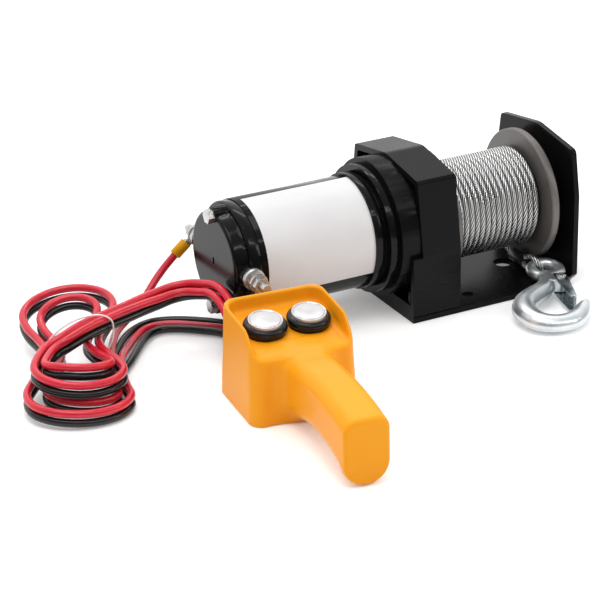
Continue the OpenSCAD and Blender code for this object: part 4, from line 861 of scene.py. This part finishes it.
nodeFinish = {
    "framePaint": ["frame_bracket"],
    "castPaint": ["gear_housing", "clutch_housing"],
    "motorPaint": ["motor_drive_end", "motor_tube", "end_bell"],
    "label": ["motor_label"],
    "ferrite": ["motor_magnets"],
    "darkSteel": ["housing_screws", "armature_core", "rope_ferrule"],
    "gearSteel": ["ring_gear", "motor_bearings", "armature_shaft", "carrier_1", "carrier_2", "carrier_3"]
                 + ["planet_" + stage + place for stage in "123" for place in "abc"],
    "zinc": ["through_bolts", "terminal_studs", "terminal_hardware", "clutch_screws", "handset_screws",
             "motor_lugs", "battery_lugs", "latch_rivet"],
    "brushBoard": ["brush_gear"],
    "bronze": ["drum_bushes"],
    "blackPlastic": ["clutch_knob", "switch_bodies", "switch_collars"],
    "copper": ["armature_windings", "commutator"],
    "drumPaint": ["drum"],
    "ropeWire": ["rope_inner_layers", "rope_winding", "rope_tail", "rope_eye"],
    "hookZinc": ["hook"],
    "latchSteel": ["hook_latch"],
    "orangePlastic": ["handset_shell", "handset_cover"],
    "buttonCap": ["button_in", "button_out"],
    "blackRubber": ["cable_gland"],
    "redSheath": ["lead_red_motor", "lead_red_battery"],
    "blackSheath": ["lead_black_motor", "lead_black_battery"],
    "yellowSleeve": ["lug_sleeves"],
    "tieWhite": ["hank_tie"],
}
# Width of each node's eased edges
edges = {
    "gear_housing": 0.9, "frame_bracket": 0.6, "end_bell": 0.4, "motor_drive_end": 0.5, "drum": 0.5,
    "clutch_housing": 0.6, "clutch_knob": 0.4, "hook_latch": 0.25, "through_bolts": 0.3,
    "terminal_hardware": 0.3, "rope_ferrule": 0.5, "lug_sleeves": 0.4, "latch_rivet": 0.2,
    "motor_tube": 0.2, "clutch_screws": 0.3, "switch_collars": 0.2, "cable_gland": 0.4,
}
easing = {"weld": 0.01 * mm, "segments": 2, "fromAngle": math.radians(38)}


def easeEdges(node, width):
    weld = node.modifiers.new("weld", "WELD")
    weld.merge_threshold = easing["weld"]
    bevel = node.modifiers.new("easedEdges", "BEVEL")
    bevel.width = width * mm
    bevel.segments = easing["segments"]
    bevel.limit_method = "ANGLE"
    bevel.angle_limit = easing["fromAngle"]
    bevel.harden_normals = True
    bevel.use_clamp_overlap = True


def dressNodes():
    for finish, names in nodeFinish.items():
        for name in names:
            node = nodes[name]
            node.data.materials.clear()
            node.data.materials.append(finishes[finish])
            if name in edges:
                easeEdges(node, edges[name])


dressNodes()
print("nodes dressed")

# Floor and light

studio = {
    "floorSize": 8.0,
    "floorZ": -0.0003,
    "floorColour": (0.93, 0.93, 0.93),
    "floorGlow": 0.2,
    # The sky is brightest overhead and behind the object
    "skySide": 0.07,
    "skyTop": 0.64,
    "skyTopFrom": (0.0, 0.8),
    "skyBack": 0.95,
    "skyBackFrom": (-0.2, 0.7),
    "lampsAim": (-0.1, 0, 0.04),
    # Place, width and height of each lamp, and its power; the long ones draw the highlights
    "lamps": [((-0.5, -0.3, 1.5), (0.9, 0.9), 8.6),
              ((1.1, -1.0, 0.8), (0.5, 0.5), 4.0),
              ((-1.3, -0.2, 0.6), (0.4, 0.4), 0.25),
              ((0.1, -0.9, 0.9), (1.0, 0.05), 2.0),
              ((0.1, 0.6, 1.1), (1.0, 0.06), 2.5)],
}


def makeFloor(spec):
    finish, tree, links = newFinish("paleFloor")
    shader = tree["Principled BSDF"]
    shader.inputs["Base Color"].default_value = (*spec["floorColour"], 1)
    shader.inputs["Roughness"].default_value = 0.9
    shader.inputs["Specular IOR Level"].default_value = 0.1
    shader.inputs["Emission Color"].default_value = (1, 1, 1, 1)
    # The glow is seen and mirrored, but lights nothing
    rays = tree.new("ShaderNodeLightPath")
    shown = tree.new("ShaderNodeMath")
    shown.use_clamp = True
    links.new(rays.outputs["Is Camera Ray"], shown.inputs[0])
    links.new(rays.outputs["Is Glossy Ray"], shown.inputs[1])
    glow = spread(tree, links, shown.outputs[0], 0, spec["floorGlow"], 0, 1)
    links.new(glow, shader.inputs["Emission Strength"])
    half, low = spec["floorSize"] / 2, spec["floorZ"]
    corners = [(-half, -half, low), (half, -half, low), (half, half, low), (-half, half, low)]
    mesh = bpy.data.meshes.new("floor")
    mesh.from_pydata(corners, [], [(0, 1, 2, 3)])
    floor = addObject("floor", mesh)
    mesh.materials.append(finish)


def makeSky(spec):
    world = bpy.data.worlds.new("softBox")
    scene.world = world
    world.use_nodes = True
    tree, links = world.node_tree.nodes, world.node_tree.links
    coords = tree.new("ShaderNodeTexCoord")
    split = tree.new("ShaderNodeSeparateXYZ")
    links.new(coords.outputs["Generated"], split.inputs[0])
    above = spread(tree, links, split.outputs["Z"], spec["skySide"], spec["skyTop"], *spec["skyTopFrom"])
    behind = spread(tree, links, split.outputs["Y"], 0, spec["skyBack"], *spec["skyBackFrom"])
    both = tree.new("ShaderNodeMath")
    links.new(above, both.inputs[0])
    links.new(behind, both.inputs[1])
    links.new(both.outputs[0], tree["Background"].inputs["Strength"])
    tree["Background"].inputs["Color"].default_value = (1, 1, 1, 1)


def hangLamps(spec):
    for i, (place, size, power) in enumerate(spec["lamps"]):
        data = bpy.data.lights.new("lamp" + str(i), "AREA")
        data.shape = "RECTANGLE"
        data.size, data.size_y = size
        data.energy = power
        lamp = bpy.data.objects.new("lamp" + str(i), data)
        lamp.location = place
        aim = Vector(spec["lampsAim"]) - Vector(place)
        lamp.rotation_euler = aim.to_track_quat("-Z", "Y").to_euler()
        scene.collection.objects.link(lamp)


makeFloor(studio)
makeSky(studio)
hangLamps(studio)
print("studio made")
